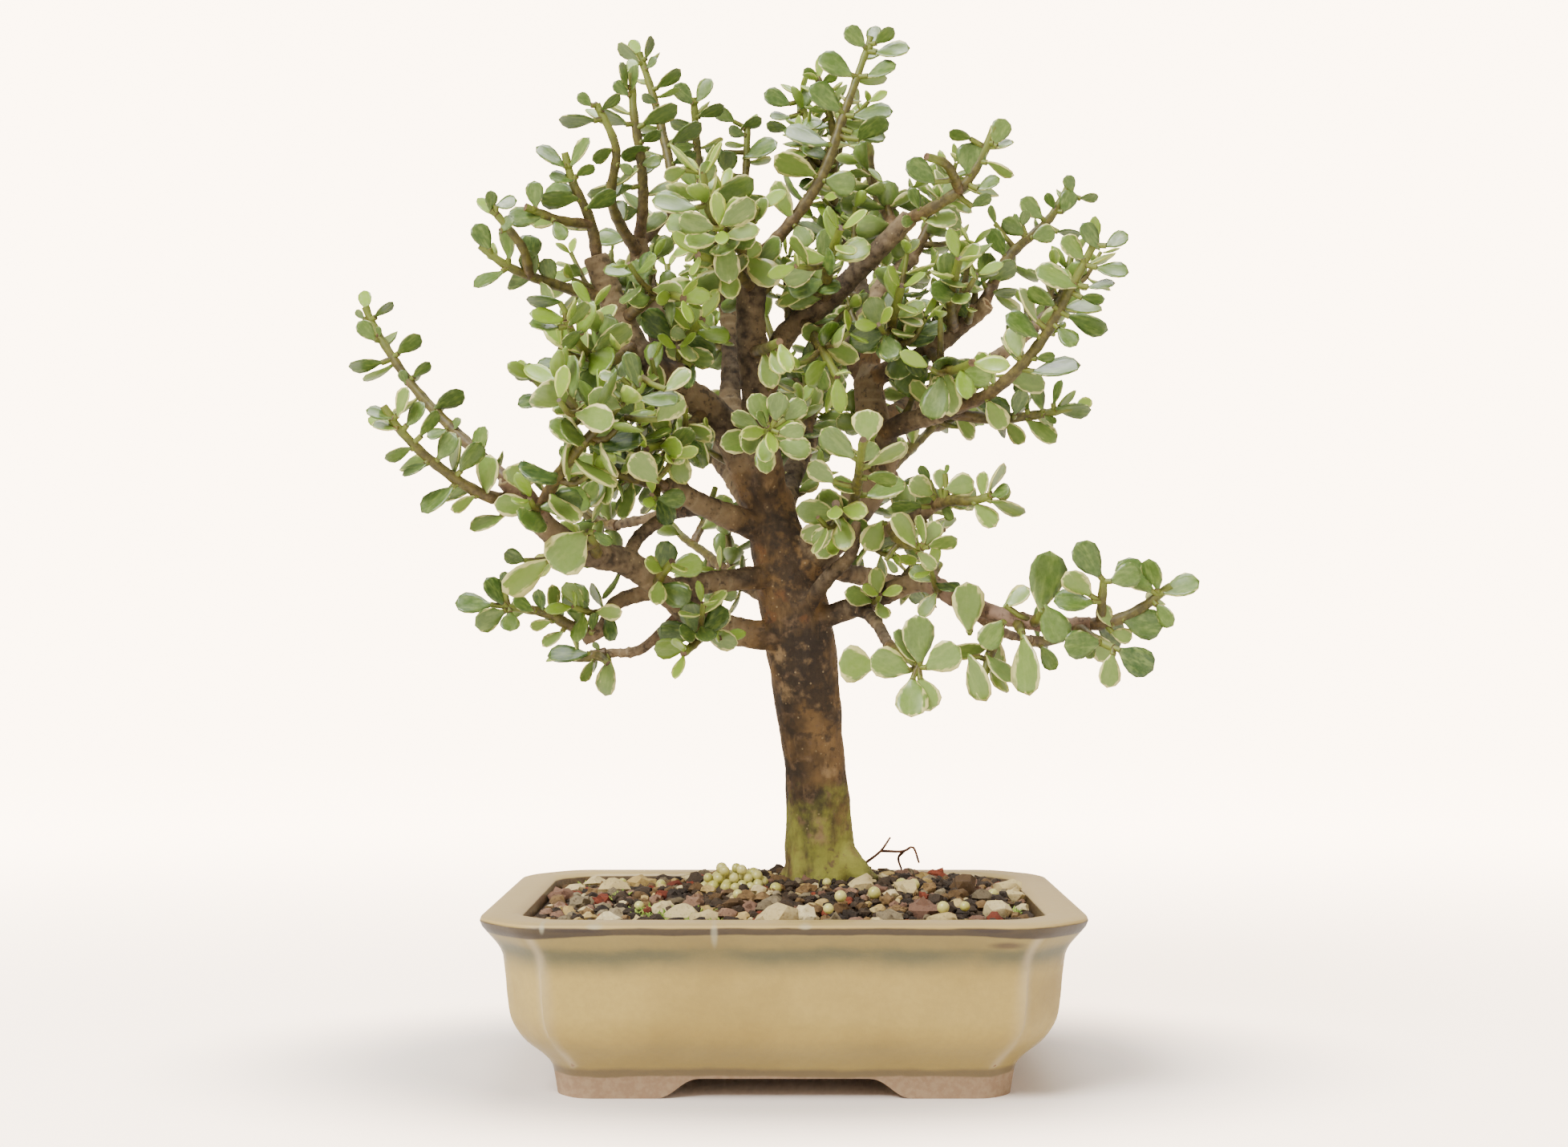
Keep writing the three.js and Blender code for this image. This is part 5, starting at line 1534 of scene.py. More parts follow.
def chosen(bm, kind, test):
    """Selects only the verts, edges or faces that pass a test of their place."""
    for face in bm.faces:
        face.select = False
    for edge in bm.edges:
        edge.select = False
    for vert in bm.verts:
        vert.select = False
    found = [part for part in getattr(bm, kind) if test(part)]
    for part in found:
        part.select = True
    bm.select_flush(True)
    return found


def smooth_levels(levels, step):
    route = smooth_route([Vector((inset, 0, z)) * MM for z, inset in levels], step * MM)
    return [(point.z, point.x) for point in route]


def plan_outline(inset, soft_steps=4):
    """The rim's plan moved in by the inset: a rectangle with its corners cut and softened, from above."""
    half_width, half_depth = POT_WIDTH / 2 - inset, POT_DEPTH / 2 - inset
    cut = CORNER_CUT - inset * (1 - CORNER_DRIFT)
    corners = [
        (half_width, cut - half_depth), (half_width, half_depth - cut),
        (half_width - cut, half_depth), (cut - half_width, half_depth),
        (-half_width, half_depth - cut), (-half_width, cut - half_depth),
        (cut - half_width, -half_depth), (half_width - cut, -half_depth),
    ]
    corners = [Vector(corner) for corner in corners]
    points = []
    soft = min(np.interp(inset, SOFT_INSETS, CORNER_SOFT), MOST_SOFT * cut)
    for i, corner in enumerate(corners):
        start = corner + (corners[i - 1] - corner).normalized() * soft
        end = corner + (corners[(i + 1) % 8] - corner).normalized() * soft
        for k in range(soft_steps + 1):
            t = k / soft_steps
            points.append(start * (1 - t) ** 2 + corner * 2 * t * (1 - t) + end * t**2)
    return points


def pot_piece():
    """The plan is filled, then drawn down through the outer wall's levels and, from the top, the inside's."""
    outline = plan_outline(0)
    bpy.ops.object.select_all(action="DESELECT")
    bpy.ops.mesh.primitive_circle_add(vertices=len(outline), radius=POT_WIDTH / 2, fill_type="NGON")
    pot = bpy.context.object
    outer = smooth_levels(OUTER_WALL, WALL_STEP)
    inner = smooth_levels(INNER_WALL, WALL_STEP)
    bpy.ops.object.mode_set(mode="EDIT")
    for i, (z, inset) in enumerate(reversed(outer)):
        if i:
            bpy.ops.mesh.extrude_region_move()
        lay_ring(pot, plan_outline(inset), z, ridge_at(z))
    for z, inset in inner:
        bpy.ops.mesh.extrude_region_move()
        lay_ring(pot, plan_outline(inset), z, 0)
    close_bottom(pot)
    bpy.ops.object.mode_set(mode="OBJECT")
    cut_away(pot, underside())
    cut_away(pot, foot_arch(ARCH_HALF_WIDTH, 2 * POT_DEPTH, 0))
    cut_away(pot, foot_arch(SIDE_ARCH_HALF_WIDTH, 2 * POT_WIDTH, math.pi / 2))
    for end in (-1, 1):
        bpy.ops.mesh.primitive_cylinder_add(
            vertices=DRAIN_SIDES, radius=DRAIN_RADIUS, depth=DRAIN_CUTTER,
            location=(POT_MIDDLE.x + end * DRAIN_SPACING / 2, POT_MIDDLE.y, 0),
        )
        cut_away(pot, bpy.context.object)
    pot.name = "glazed_pot"
    mark_glaze(pot)
    return pot


def mark_glaze(pot):
    """Tells the glaze where the corner ridges stand out, and which points lie on the inner wall."""
    heights, insets = zip(*reversed(OUTER_WALL))
    ridge, inside = [], []
    for vertex in pot.data.vertices:
        x, y, z = vertex.co
        plan = Vector((x - POT_MIDDLE.x, y - POT_MIDDLE.y))
        corners = plan_outline(np.interp(z / MM, heights, insets) * MM)[2::5]
        near = min((plan - corner).length for corner in corners)
        low, high = RIDGE_MARKED
        ridge.append(max(0, 1 - near / RIDGE_REACH) if low < z / MM < high else 0)
        low, high = INNER_DARK_AND_SHADE_HEIGHTS
        inside.append(float(low * MM < z < high * MM and inside_plan(x, y, INNER_DARK_AND_SHADE_INSET) > 0))
    give_values(pot, "ridge", ridge)
    give_values(pot, "inside", inside)


def ridge_at(z):
    """How far the two ridges beside each cut corner stand out at a height of the body."""
    low, high = RIDGE_HEIGHTS
    share = (z / MM - low) / (high - low)
    return RIDGE * math.sin(math.pi * share) ** RIDGE_FULLNESS if 0 < share < 1 else 0


def lay_ring(pot, outline, z, ridge):
    """Lays the selected ring of points along the plan at a height, its corners raised by the ridge."""
    bm = bmesh.from_edit_mesh(pot.data)
    ring = [vert for vert in bm.verts if vert.select]
    centre = sum((vert.co for vert in ring), Vector()) / len(ring)
    ring.sort(key=lambda vert: math.atan2(vert.co.y - centre.y, vert.co.x - centre.x))
    outline = sorted(outline, key=lambda point: math.atan2(point.y, point.x))
    steps = len(outline) // 8
    for i, (vert, point) in enumerate(zip(ring, outline)):
        out = point.normalized() * ridge if i % steps == steps // 2 else Vector((0, 0))
        vert.co = (point.x + out.x + POT_MIDDLE.x, point.y + out.y + POT_MIDDLE.y, z)
    bmesh.update_edit_mesh(pot.data)


def close_bottom(pot):
    """Closes the last ring with a face, and turns every face outwards."""
    bm = bmesh.from_edit_mesh(pot.data)
    if any(edge.is_boundary for edge in bm.edges):
        chosen(bm, "edges", lambda edge: edge.is_boundary)
        bmesh.update_edit_mesh(pot.data)
        bpy.ops.mesh.edge_face_add()
    outwards()


def cut_away(piece, cutter):
    """Cuts one piece out of another and throws the cutter away."""
    select_only([piece])
    cut = piece.modifiers.new("cut", "BOOLEAN")
    cut.operation = "DIFFERENCE"
    cut.object = cutter
    cut.solver = "EXACT"
    bpy.ops.object.modifier_apply(modifier=cut.name)
    bpy.data.objects.remove(cutter)


def underside():
    """The hollow between the feet, under the pot's floor."""
    bpy.ops.mesh.primitive_cube_add(size=1, location=(POT_MIDDLE.x, POT_MIDDLE.y, FOOT_HEIGHT / 2 - 1 * MM))
    hollow = bpy.context.object
    hollow.scale = (POT_WIDTH - 2 * UNDERSIDE_INSET, POT_DEPTH - 2 * UNDERSIDE_INSET, FOOT_HEIGHT + 2 * MM)
    bpy.ops.object.transform_apply(scale=True)
    bpy.ops.object.mode_set(mode="EDIT")
    bm = bmesh.from_edit_mesh(hollow.data)
    chosen(bm, "edges", lambda edge: abs(edge.verts[0].co.z - edge.verts[1].co.z) > MM)
    bpy.ops.mesh.bevel(offset=UNDERSIDE_ROUND, segments=4)
    bpy.ops.object.mode_set(mode="OBJECT")
    return hollow


def foot_arch(half_width, thickness, turn):
    """The opening between two feet, with a curled shoulder at each end, as a flat curve given thickness."""
    curve = bpy.data.curves.new("foot_arch", "CURVE")
    curve.dimensions = "2D"
    curve.fill_mode = "BOTH"
    curve.extrude = thickness / 2
    curve.resolution_u = CURVE_FINENESS
    spline = curve.splines.new("BEZIER")
    corners = [
        (-half_width, -2 * MM), (-half_width, 0), (ARCH_CURL - half_width, FOOT_HEIGHT),
        (half_width - ARCH_CURL, FOOT_HEIGHT), (half_width, 0), (half_width, -2 * MM),
    ]
    spline.bezier_points.add(len(corners) - 1)
    for point, (x, y) in zip(spline.bezier_points, corners):
        point.co = (x, y, 0)
        point.handle_left_type = point.handle_right_type = "VECTOR"
    for i, point in enumerate(spline.bezier_points[1:5]):
        point.handle_left_type = point.handle_right_type = "FREE"
        point.handle_left = point.handle_right = point.co
        if i % 2:
            point.handle_left = point.co - Vector((FOOT_CURL, 0, 0))
        else:
            point.handle_right = point.co + Vector((FOOT_CURL, 0, 0))
    spline.use_cyclic_u = True
    arch = bpy.data.objects.new("foot_arch", curve)
    bpy.context.scene.collection.objects.link(arch)
    arch.rotation_euler = (math.pi / 2, 0, turn)
    arch.location = POT_MIDDLE
    arch = made_mesh([arch], "foot_arch")
    bpy.ops.object.transform_apply(location=True, rotation=True)
    bpy.ops.object.mode_set(mode="EDIT")
    bpy.ops.mesh.select_all(action="SELECT")
    bpy.ops.mesh.remove_doubles(threshold=MERGE_DISTANCE)
    outwards()
    bpy.ops.object.mode_set(mode="OBJECT")
    return arch


# Soil, its stones and moss
SOIL_INSET = 12.3 * MM
SOIL_DEPTH = 8 * MM
SOIL_RINGS = 26
SOIL_SOFT_STEPS = 6
# The bed's relief: how fine, and how far it stands out in millimetres
SOIL_RELIEF = ((260, 0.9), (700, 0.45))
STONE_KINDS = {"dark": 0.42, "brown": 0.2, "red": 0.06, "grey": 0.09, "mauve": 0.07, "cream": 0.08,
               "tan": 0.08}
# The stones that show: pixel, half their width in millimetres, and kind
NAMED_STONES = [
    (980, 1134, 6, "cream"), (1006, 1124, 4.2, "cream"), (1072, 1108, 4.4, "cream"),
    (1243, 1138, 4.8, "cream"),
    (1272, 1123, 2.8, "cream"), (1302, 1128, 3.8, "cream"), (1173, 1138, 3.4, "cream"),
    (1096, 1139, 3.4, "cream"),
    (1152, 1126, 4.4, "mauve"), (1200, 1112, 4.6, "brown"), (766, 1114, 4.4, "cream"),
    (745, 1106, 3.6, "cream"),
    (797, 1108, 3.8, "tan"), (852, 1132, 4.4, "cream"), (876, 1134, 3.6, "cream"), (826, 1132, 3, "cream"),
    (700, 1122, 3.4, "mauve"), (722, 1132, 3, "grey"), (1048, 1139, 3.8, "grey"), (1130, 1112, 3.8, "cream"),
    (945, 1130, 2.8, "red"), (1104, 1094, 3.2, "red"), (750, 1128, 2.8, "red"), (1225, 1121, 3, "grey"),
    (912, 1134, 3, "dark"), (930, 1118, 2.8, "brown"), (1028, 1138, 3, "dark"), (1070, 1138, 3.2, "mauve"),
]
PELLETS = [
    (1005, 1096), (1048, 1122), (1124, 1107), (1139, 1108), (1203, 1134), (1238, 1119), (1090, 1118),
    (1176, 1136),
    (824, 1107), (841, 1096), (858, 1094), (920, 1119), (967, 1112), (1031, 1104), (1033, 1137), (797, 1134),
    (776, 1104),
]
# The pile of pellets: pixel of its middle, half its width and depth, and the tries and reach of each layer
PELLET_PILE = {"middle": (914, 1106), "half": (9.5, 7.5), "layers": ((500, 1), (300, 0.8), (90, 0.5))}
PELLET_RADIUS = 1.65 * MM
PELLET_APART = 1.75 * PELLET_RADIUS
PELLET_STEP = 1.35 * PELLET_RADIUS
MOSS_PATCHES = [
    (852, 1132, 9), (876, 1134, 8), (745, 1106, 5), (1300, 1128, 6), (1024, 1092, 12), (805, 1136, 7),
    (770, 1120, 4),
    (828, 1139, 6), (1262, 1140, 3),
]


def inside_plan(x, y, inset):
    """How far a point lies inside the inner wall's plan."""
    half_width, half_depth = POT_WIDTH / 2 - inset, POT_DEPTH / 2 - inset
    cut = CORNER_CUT - inset * (1 - CORNER_DRIFT)
    across, back = abs(x - POT_MIDDLE.x), abs(y - POT_MIDDLE.y)
    corner = (half_width + half_depth - cut - across - back) / math.sqrt(2)
    return min(half_width - across, half_depth - back, corner)


def soil_relief(point, _):
    return sum(rise * noise.noise(point * fineness) for fineness, rise in SOIL_RELIEF) * MM


def soil_piece():
    """The bed: its plan drawn up from below the surface, then in towards the trunk in rising rings."""
    outline = plan_outline(SOIL_INSET, SOIL_SOFT_STEPS)
    bpy.ops.object.select_all(action="DESELECT")
    bpy.ops.mesh.primitive_circle_add(vertices=len(outline), radius=POT_WIDTH / 2, fill_type="NGON")
    bed = bpy.context.object
    bed.name = "soil_bed"
    foot = Vector((TRUNK_FOOT.x - POT_MIDDLE.x, TRUNK_FOOT.y - POT_MIDDLE.y))
    bpy.ops.object.mode_set(mode="EDIT")
    lay_ring(bed, outline, SOIL_EDGE - SOIL_DEPTH, 0)
    for ring in range(SOIL_RINGS):
        bpy.ops.mesh.extrude_region_move()
        plan = [foot + (point - foot) * (1 - ring / SOIL_RINGS) for point in outline]
        lay_ring(bed, plan, SOIL_EDGE, 0)
    bpy.ops.mesh.merge(type="CENTER")
    close_bottom(bed)
    bpy.ops.object.mode_set(mode="OBJECT")
    for vertex in bed.data.vertices:
        if vertex.co.z > SOIL_EDGE - MM:
            vertex.co.z = soil_height(vertex.co.x, vertex.co.y)
    bpy.ops.object.mode_set(mode="EDIT")
    bpy.ops.mesh.select_all(action="SELECT")
    bpy.ops.mesh.subdivide(number_cuts=1)
    bpy.ops.object.mode_set(mode="OBJECT")
    stand_out(bed, soil_relief)
    return bed


# A stone's stretch along x and y, how fine its lumps and dents are, and how stones lie apart, tilt and sink
STONE_STRETCH = (1.1, 0.92)
STONE_LUMPS = 1.3
STONE_DENTS = 3.1
STONE_SHIFT = Vector((3.1, 1.7, 2.3))
STONE_SMOOTH = math.radians(38)
STONE_APART = 0.86
STONE_TILT = 0.4
STONE_SUNK = (0.1, 0.35)
STONE_SPREAD = (0.85, 1.2)
# Radius in millimetres of each round of stones, and how many tries it gets
STONE_ROUNDS = ((2.7, 70), (2.1, 420), (1.6, 1500), (1.1, 3600))
STONE_MODELS = 5
STONE_SHAPE = (0.62, 0.8)
TRUNK_CLEARING = 11 * MM
PELLET_SPREAD = (0.8, 1.12)
PELLET_LIFT = 0.6
# Moss: blades for each millimetre of a patch's reach, and each blade's lean and height in millimetres
MOSS_THICKNESS = 9
MOSS_CROWDING = 0.7
MOSS_FLATTENING = 0.8
MOSS_EDGE = 0.5 * MM
BLADE_LEAN = 0.9
BLADE_HEIGHT = (0.5, 1.3)


def stone_model(name, seed, lumps, flat):
    """A rough stone of unit radius: a ball whose points are pushed in and out, then pressed flat."""
    bpy.ops.object.select_all(action="DESELECT")
    bpy.ops.mesh.primitive_ico_sphere_add(subdivisions=2, radius=1)
    stone = bpy.context.object
    stone.name = "stone_" + name
    shift = STONE_SHIFT * seed
    for vertex in stone.data.vertices:
        swell = 1 + lumps * noise.noise(vertex.co * STONE_LUMPS + shift)
        swell += 0.5 * lumps * noise.noise(vertex.co * STONE_DENTS - shift)
        vertex.co = vertex.co * Vector((*STONE_STRETCH, flat)) * swell
    return stone


def set_down(model, place, radius, random, name):
    """A copy of a stone, turned at random and sunk a little into the bed."""
    copy = own_copy(model, name)
    tilt = Matrix.Rotation(random.uniform(-STONE_TILT, STONE_TILT), 4, "X")
    tilt @= Matrix.Rotation(random.uniform(0, FULL_TURN), 4, "Z")
    copy.matrix_world = Matrix.Translation(place) @ tilt @ Matrix.Scale(radius, 4)
    tint = copy.data.attributes.new("tint", "FLOAT", "POINT")
    tint.data.foreach_set("value", [random.random()] * len(copy.data.vertices))
    return copy


def laid_stones(random):
    """Every stone's place, radius and kind: the ones that show, then ever smaller ones between them."""
    stones = []
    for across, down, radius, kind in NAMED_STONES:
        point = on_soil(across, down)
        stones.append((point.x, point.y, radius * MM, kind))
    kinds, weights = list(STONE_KINDS), list(STONE_KINDS.values())
    for radius, tries in STONE_ROUNDS:
        for _ in range(tries):
            x = POT_MIDDLE.x + random.uniform(-0.5, 0.5) * POT_WIDTH
            y = POT_MIDDLE.y + random.uniform(-0.5, 0.5) * POT_DEPTH
            size = radius * random.uniform(*STONE_SPREAD) * MM
            if inside_plan(x, y, SOIL_INSET) < size:
                continue
            if math.hypot(x - TRUNK_FOOT.x, y - TRUNK_FOOT.y) < TRUNK_CLEARING:
                continue
            if all((x - a) ** 2 + (y - b) ** 2 > (STONE_APART * (size + c)) ** 2 for a, b, c, _ in stones):
                stones.append((x, y, size, random.choices(kinds, weights)[0]))
    return stones


def gravel_pieces(finishes):
    random = Random(5)
    models = [stone_model(str(i), i + 1, *STONE_SHAPE) for i in range(STONE_MODELS)]
    copies = {kind: [] for kind in STONE_KINDS}
    stones = laid_stones(random)
    for x, y, radius, kind in stones:
        inset = max(0, radius - inside_plan(x, y, SOIL_INSET))
        x -= math.copysign(inset, x - POT_MIDDLE.x)
        y -= math.copysign(inset, y - POT_MIDDLE.y)
        place = Vector((x, y, soil_height(x, y) + radius * random.uniform(*STONE_SUNK)))
        copies[kind].append(set_down(random.choice(models), place, radius, random, "stone"))
    for kind, found in copies.items():
        piece = joined(found, "gravel_" + kind)
        piece.data.materials.append(finishes[kind])
        finish_piece(piece, "gravel", "soil")
        bpy.ops.object.shade_smooth_by_angle(angle=STONE_SMOOTH)
    for model in models:
        bpy.data.objects.remove(model)
    return stones


def pellet_piece(finish):
    """Round fertiliser pellets: a pile beside the trunk and a few strays."""
    random = Random(17)
    bpy.ops.object.select_all(action="DESELECT")
    bpy.ops.mesh.primitive_uv_sphere_add(segments=12, ring_count=8, radius=1)
    model = bpy.context.object
    copies = []
    strays = [on_soil(across, down) for across, down in PELLETS]
    middle = on_soil(*PELLET_PILE["middle"])
    half_wide, half_deep = (half * MM for half in PELLET_PILE["half"])
    heap = []
    for layer, (tries, reach) in enumerate(PELLET_PILE["layers"]):
        for _ in range(tries):
            angle, away = random.uniform(0, 2 * math.pi), reach * math.sqrt(random.random())
            x = middle.x + math.cos(angle) * away * half_wide
            y = middle.y + math.sin(angle) * away * half_deep
            point = Vector((x, y, soil_height(x, y) + layer * PELLET_STEP))
            if all((point - other).length > PELLET_APART for other in heap):
                heap.append(point)
    for point in strays + heap:
        if inside_plan(point.x, point.y, SOIL_INSET) < PELLET_RADIUS:
            continue
        radius = PELLET_RADIUS * random.uniform(*PELLET_SPREAD)
        copies.append(set_down(model, point + Vector((0, 0, radius * PELLET_LIFT)), radius, random, "pellet"))
    bpy.data.objects.remove(model)
    piece = joined(copies, "fertiliser_pellets")
    piece.data.materials.append(finish)
    return finish_piece(piece, "gravel", "soil")


def moss_piece(finish):
    """Tufts of short leaning blades, set down thickly on each patch."""
    random = Random(23)
    blades = []
    for across, down, reach in MOSS_PATCHES:
        centre = on_soil(across, down)
        for _ in range(int(MOSS_THICKNESS * reach)):
            angle, away = random.uniform(0, FULL_TURN), reach * MM * random.random() ** MOSS_CROWDING
            x, y = centre.x + math.cos(angle) * away, centre.y + math.sin(angle) * away * MOSS_FLATTENING
            if inside_plan(x, y, SOIL_INSET) < MOSS_EDGE:
                continue
            blades.append(Vector((x, y, soil_height(x, y))))
    bpy.ops.object.select_all(action="DESELECT")
    bpy.ops.mesh.primitive_cone_add(vertices=5, radius1=0.5, radius2=0.12, depth=2, location=(0, 0, 1))
    model = bpy.context.object
    bpy.ops.object.transform_apply(location=True)
    copies = []
    for place in blades:
        copy = set_down(model, place, 1, random, "blade")
        lean = Matrix.Rotation(random.uniform(-BLADE_LEAN, BLADE_LEAN), 4, "X")
        lean @= Matrix.Rotation(random.uniform(-BLADE_LEAN, BLADE_LEAN), 4, "Y")
        height = random.uniform(*BLADE_HEIGHT) * MM
        copy.matrix_world = Matrix.Translation(place) @ lean @ Matrix.Scale(height, 4)
        copies.append(copy)
    bpy.data.objects.remove(model)
    piece = joined(copies, "moss")
    piece.data.materials.append(finish)
    return finish_piece(piece, "gravel", "soil")


DRY_ROOTS = [
    [(1079, 1076, 20), (1098, 1061, 18), (1110, 1044, 16)],
    [(1098, 1061, 18), (1127, 1061, 20), (1138, 1056, 22), (1146, 1076, 22)],
    [(1127, 1061, 20), (1120, 1070, 24), (1124, 1084, 26)],
]
DRY_ROOT_RADII = [0.5, 0.3]


def dry_root_piece(finish):
    stems = []
    for route in DRY_ROOTS:
        path = smooth_route([on_sight(*point) for point in route], 1 * MM)
        stems.append(stem_curve("dry_root", path, spread_radii(DRY_ROOT_RADII, len(path)), 1))
    piece = made_mesh(stems, "dry_root")
    piece.data.materials.append(finish)
    return finish_piece(piece, "bark")


# Materials

PAINT_SHADE = 0.76


def srgb(*colour):
    """A colour as the eye reads it in the bright studio, 0 to 255, in a shader's linear values."""
    linear = [((c / 255 + 0.055) / 1.055) ** 2.4 if c > 10 else c / 255 / 12.92 for c in colour]
    return *(PAINT_SHADE * value for value in linear), 1


def grain_group():
    """Fine grain that several finishes share: a soft mask of its light spots, and its height."""
    group = bpy.data.node_groups.new("grain", "ShaderNodeTree")
    group.interface.new_socket(name="Place", in_out="INPUT", socket_type="NodeSocketVector")
    group.interface.new_socket(name="Scale", in_out="INPUT", socket_type="NodeSocketFloat")
    group.interface.new_socket(name="Light spots", in_out="OUTPUT", socket_type="NodeSocketFloat")
    group.interface.new_socket(name="Height", in_out="OUTPUT", socket_type="NodeSocketFloat")
    given = group.nodes.new("NodeGroupInput")
    made = group.nodes.new("NodeGroupOutput")
    speckle = group.nodes.new("ShaderNodeTexNoise")
    speckle.inputs["Detail"].default_value = 4
    speckle.inputs["Roughness"].default_value = 0.6
    spots = group.nodes.new("ShaderNodeMapRange")
    spots.interpolation_type = "SMOOTHSTEP"
    spots.inputs["From Min"].default_value = 0.36
    spots.inputs["From Max"].default_value = 0.64
    group.links.new(given.outputs["Place"], speckle.inputs["Vector"])
    group.links.new(given.outputs["Scale"], speckle.inputs["Scale"])
    group.links.new(speckle.outputs["Fac"], spots.inputs["Value"])
    group.links.new(spots.outputs["Result"], made.inputs["Light spots"])
    group.links.new(speckle.outputs["Fac"], made.inputs["Height"])
    return group


GRAIN = grain_group()


class Finish:
    """A material and the few calls that put its nodes together."""

    def __init__(self, name, roughness=0.6, coat=0):
        self.material = bpy.data.materials.new(name)
        self.material.use_nodes = True
        self.tree = self.material.node_tree
        self.shader = self.tree.nodes["Principled BSDF"]
        self.shader.inputs["Roughness"].default_value = roughness
        self.shader.inputs["Coat Weight"].default_value = coat
        self.place = self.node("ShaderNodeTexCoord").outputs["Object"]

    def node(self, kind, **values):
        made = self.tree.nodes.new(kind)
        for key, value in values.items():
            setattr(made, key, value)
        return made

    def link(self, source, target):
        if hasattr(source, "is_output"):
            self.tree.links.new(source, target)
        else:
            target.default_value = source

    def attribute(self, name):
        return self.node("ShaderNodeAttribute", attribute_name=name).outputs["Fac"]

    def stretched(self, scale, source=None):
        mapping = self.node("ShaderNodeMapping")
        self.link(source or self.place, mapping.inputs["Vector"])
        mapping.inputs["Scale"].default_value = scale
        return mapping.outputs["Vector"]

    def noise(self, scale, detail=3, vector=None, roughness=0.55):
        made = self.node("ShaderNodeTexNoise")
        self.link(vector or self.place, made.inputs["Vector"])
        made.inputs["Scale"].default_value = scale
        made.inputs["Detail"].default_value = detail
        made.inputs["Roughness"].default_value = roughness
        return made.outputs["Fac"]

    def grain(self, scale):
        """The light spots and the height of the shared grain."""
        made = self.node("ShaderNodeGroup", node_tree=GRAIN)
        self.link(self.place, made.inputs["Place"])
        self.link(scale, made.inputs["Scale"])
        return made.outputs["Light spots"], made.outputs["Height"]

    def spot(self, place, size):
        """1 at a place, fading out to 0 at a size given for each axis."""
        off = self.node("ShaderNodeVectorMath", operation="SUBTRACT")
        self.link(self.place, off.inputs[0])
        off.inputs[1].default_value = place
        scaled = self.node("ShaderNodeVectorMath", operation="DIVIDE")
        self.link(off.outputs["Vector"], scaled.inputs[0])
        scaled.inputs[1].default_value = size
        long = self.node("ShaderNodeVectorMath", operation="LENGTH")
        self.link(scaled.outputs["Vector"], long.inputs[0])
        return self.between(long.outputs["Value"], 1, 0.3)

    def product(self, first, *others):
        for other in others:
            first = self.math("MULTIPLY", first, other)
        return first

    def shifted(self, value, scale, amount, detail=3):
        """A value moved up and down by broad noise."""
        swing = self.math("SUBTRACT", self.noise(scale, detail), 0.5)
        return self.math("ADD", value, self.product(swing, amount))

    def cells(self, scale):
        made = self.node("ShaderNodeTexVoronoi")
        self.link(self.place, made.inputs["Vector"])
        made.inputs["Scale"].default_value = scale
        return made.outputs["Distance"]

    def math(self, operation, first, second=0):
        made = self.node("ShaderNodeMath", operation=operation)
        self.link(first, made.inputs[0])
        self.link(second, made.inputs[1])
        return made.outputs[0]

    def between(self, value, low, high, start=0, end=1):
        """Start below low, end above high, and a smooth change between them."""
        made = self.node("ShaderNodeMapRange", interpolation_type="SMOOTHSTEP")
        self.link(value, made.inputs["Value"])
        self.link(low, made.inputs["From Min"])
        self.link(high, made.inputs["From Max"])
        made.inputs["To Min"].default_value = start
        made.inputs["To Max"].default_value = end
        return made.outputs["Result"]

    def mix(self, share, first, second):
        made = self.node("ShaderNodeMix", data_type="RGBA")
        self.link(share, made.inputs["Factor"])
        self.link(first, made.inputs["A"])
        self.link(second, made.inputs["B"])
        return made.outputs["Result"]

    def coats(self, body, *layers):
        """Coats of colour over a body, each seen through its own mask."""
        for mask, colour in layers:
            body = self.mix(mask, body, colour)
        return body

    def part(self, vector, axis):
        made = self.node("ShaderNodeSeparateXYZ")
        self.link(vector, made.inputs[0])
        return made.outputs[axis]

    def bump(self, height, strength, distance):
        made = self.node("ShaderNodeBump")
        self.link(height, made.inputs["Height"])
        made.inputs["Strength"].default_value = strength
        made.inputs["Distance"].default_value = distance
        self.tree.links.new(made.outputs["Normal"], self.shader.inputs["Normal"])

    def colour(self, source):
        self.link(source, self.shader.inputs["Base Color"])

    def rough(self, source):
        self.link(source, self.shader.inputs["Roughness"])


def leaf_finish():
    """Green blades with a cream margin of uneven width, yellower when young and paler underneath."""
    finish = Finish("variegated_leaf", roughness=0.42, coat=0.25)
    finish.shader.inputs["Coat Roughness"].default_value = 0.25
    tint = finish.attribute("tint")
    youth = finish.attribute("youth")
    uv = finish.node("ShaderNodeTexCoord").outputs["UV"]
    shifted = finish.node("ShaderNodeVectorMath", operation="ADD")
    finish.link(uv, shifted.inputs[0])
    finish.link(finish.math("MULTIPLY", tint, 37), shifted.inputs[1])
    streak = finish.noise(3, 2, finish.stretched((3.4, 0.9, 1), shifted.outputs["Vector"]))
    wander = finish.product(finish.math("SUBTRACT", streak, 0.5), 0.9)
    edge = finish.math("ADD", finish.attribute("rim"), wander)
    narrow = finish.between(tint, 0.05, 0.9, 1, 0.62)
    margin = finish.between(edge, narrow, finish.math("ADD", narrow, 0.16))
    spots, height = finish.grain(900)
    green = finish.coats(
        finish.mix(tint, srgb(34, 73, 12), srgb(139, 171, 74)),
        (finish.between(youth, 0.45, 1, 0, 0.8), srgb(146, 184, 40)),
        (finish.between(streak, 0.45, 0.7, 0, 0.45), srgb(144, 168, 80)),
        (finish.product(spots, 0.12), srgb(170, 190, 110)),
    )
    cream = finish.mix(youth, srgb(240, 232, 158), srgb(208, 222, 104))
    painted = finish.mix(margin, green, cream)
    under = finish.between(finish.attribute("side"), 0.3, 0.5, 0.35, 0)
    finish.colour(finish.mix(under, painted, srgb(140, 168, 86)))
    finish.rough(finish.math("ADD", 0.34, finish.product(spots, 0.14)))
    finish.bump(height, 0.12, 0.0002)
    return finish.material


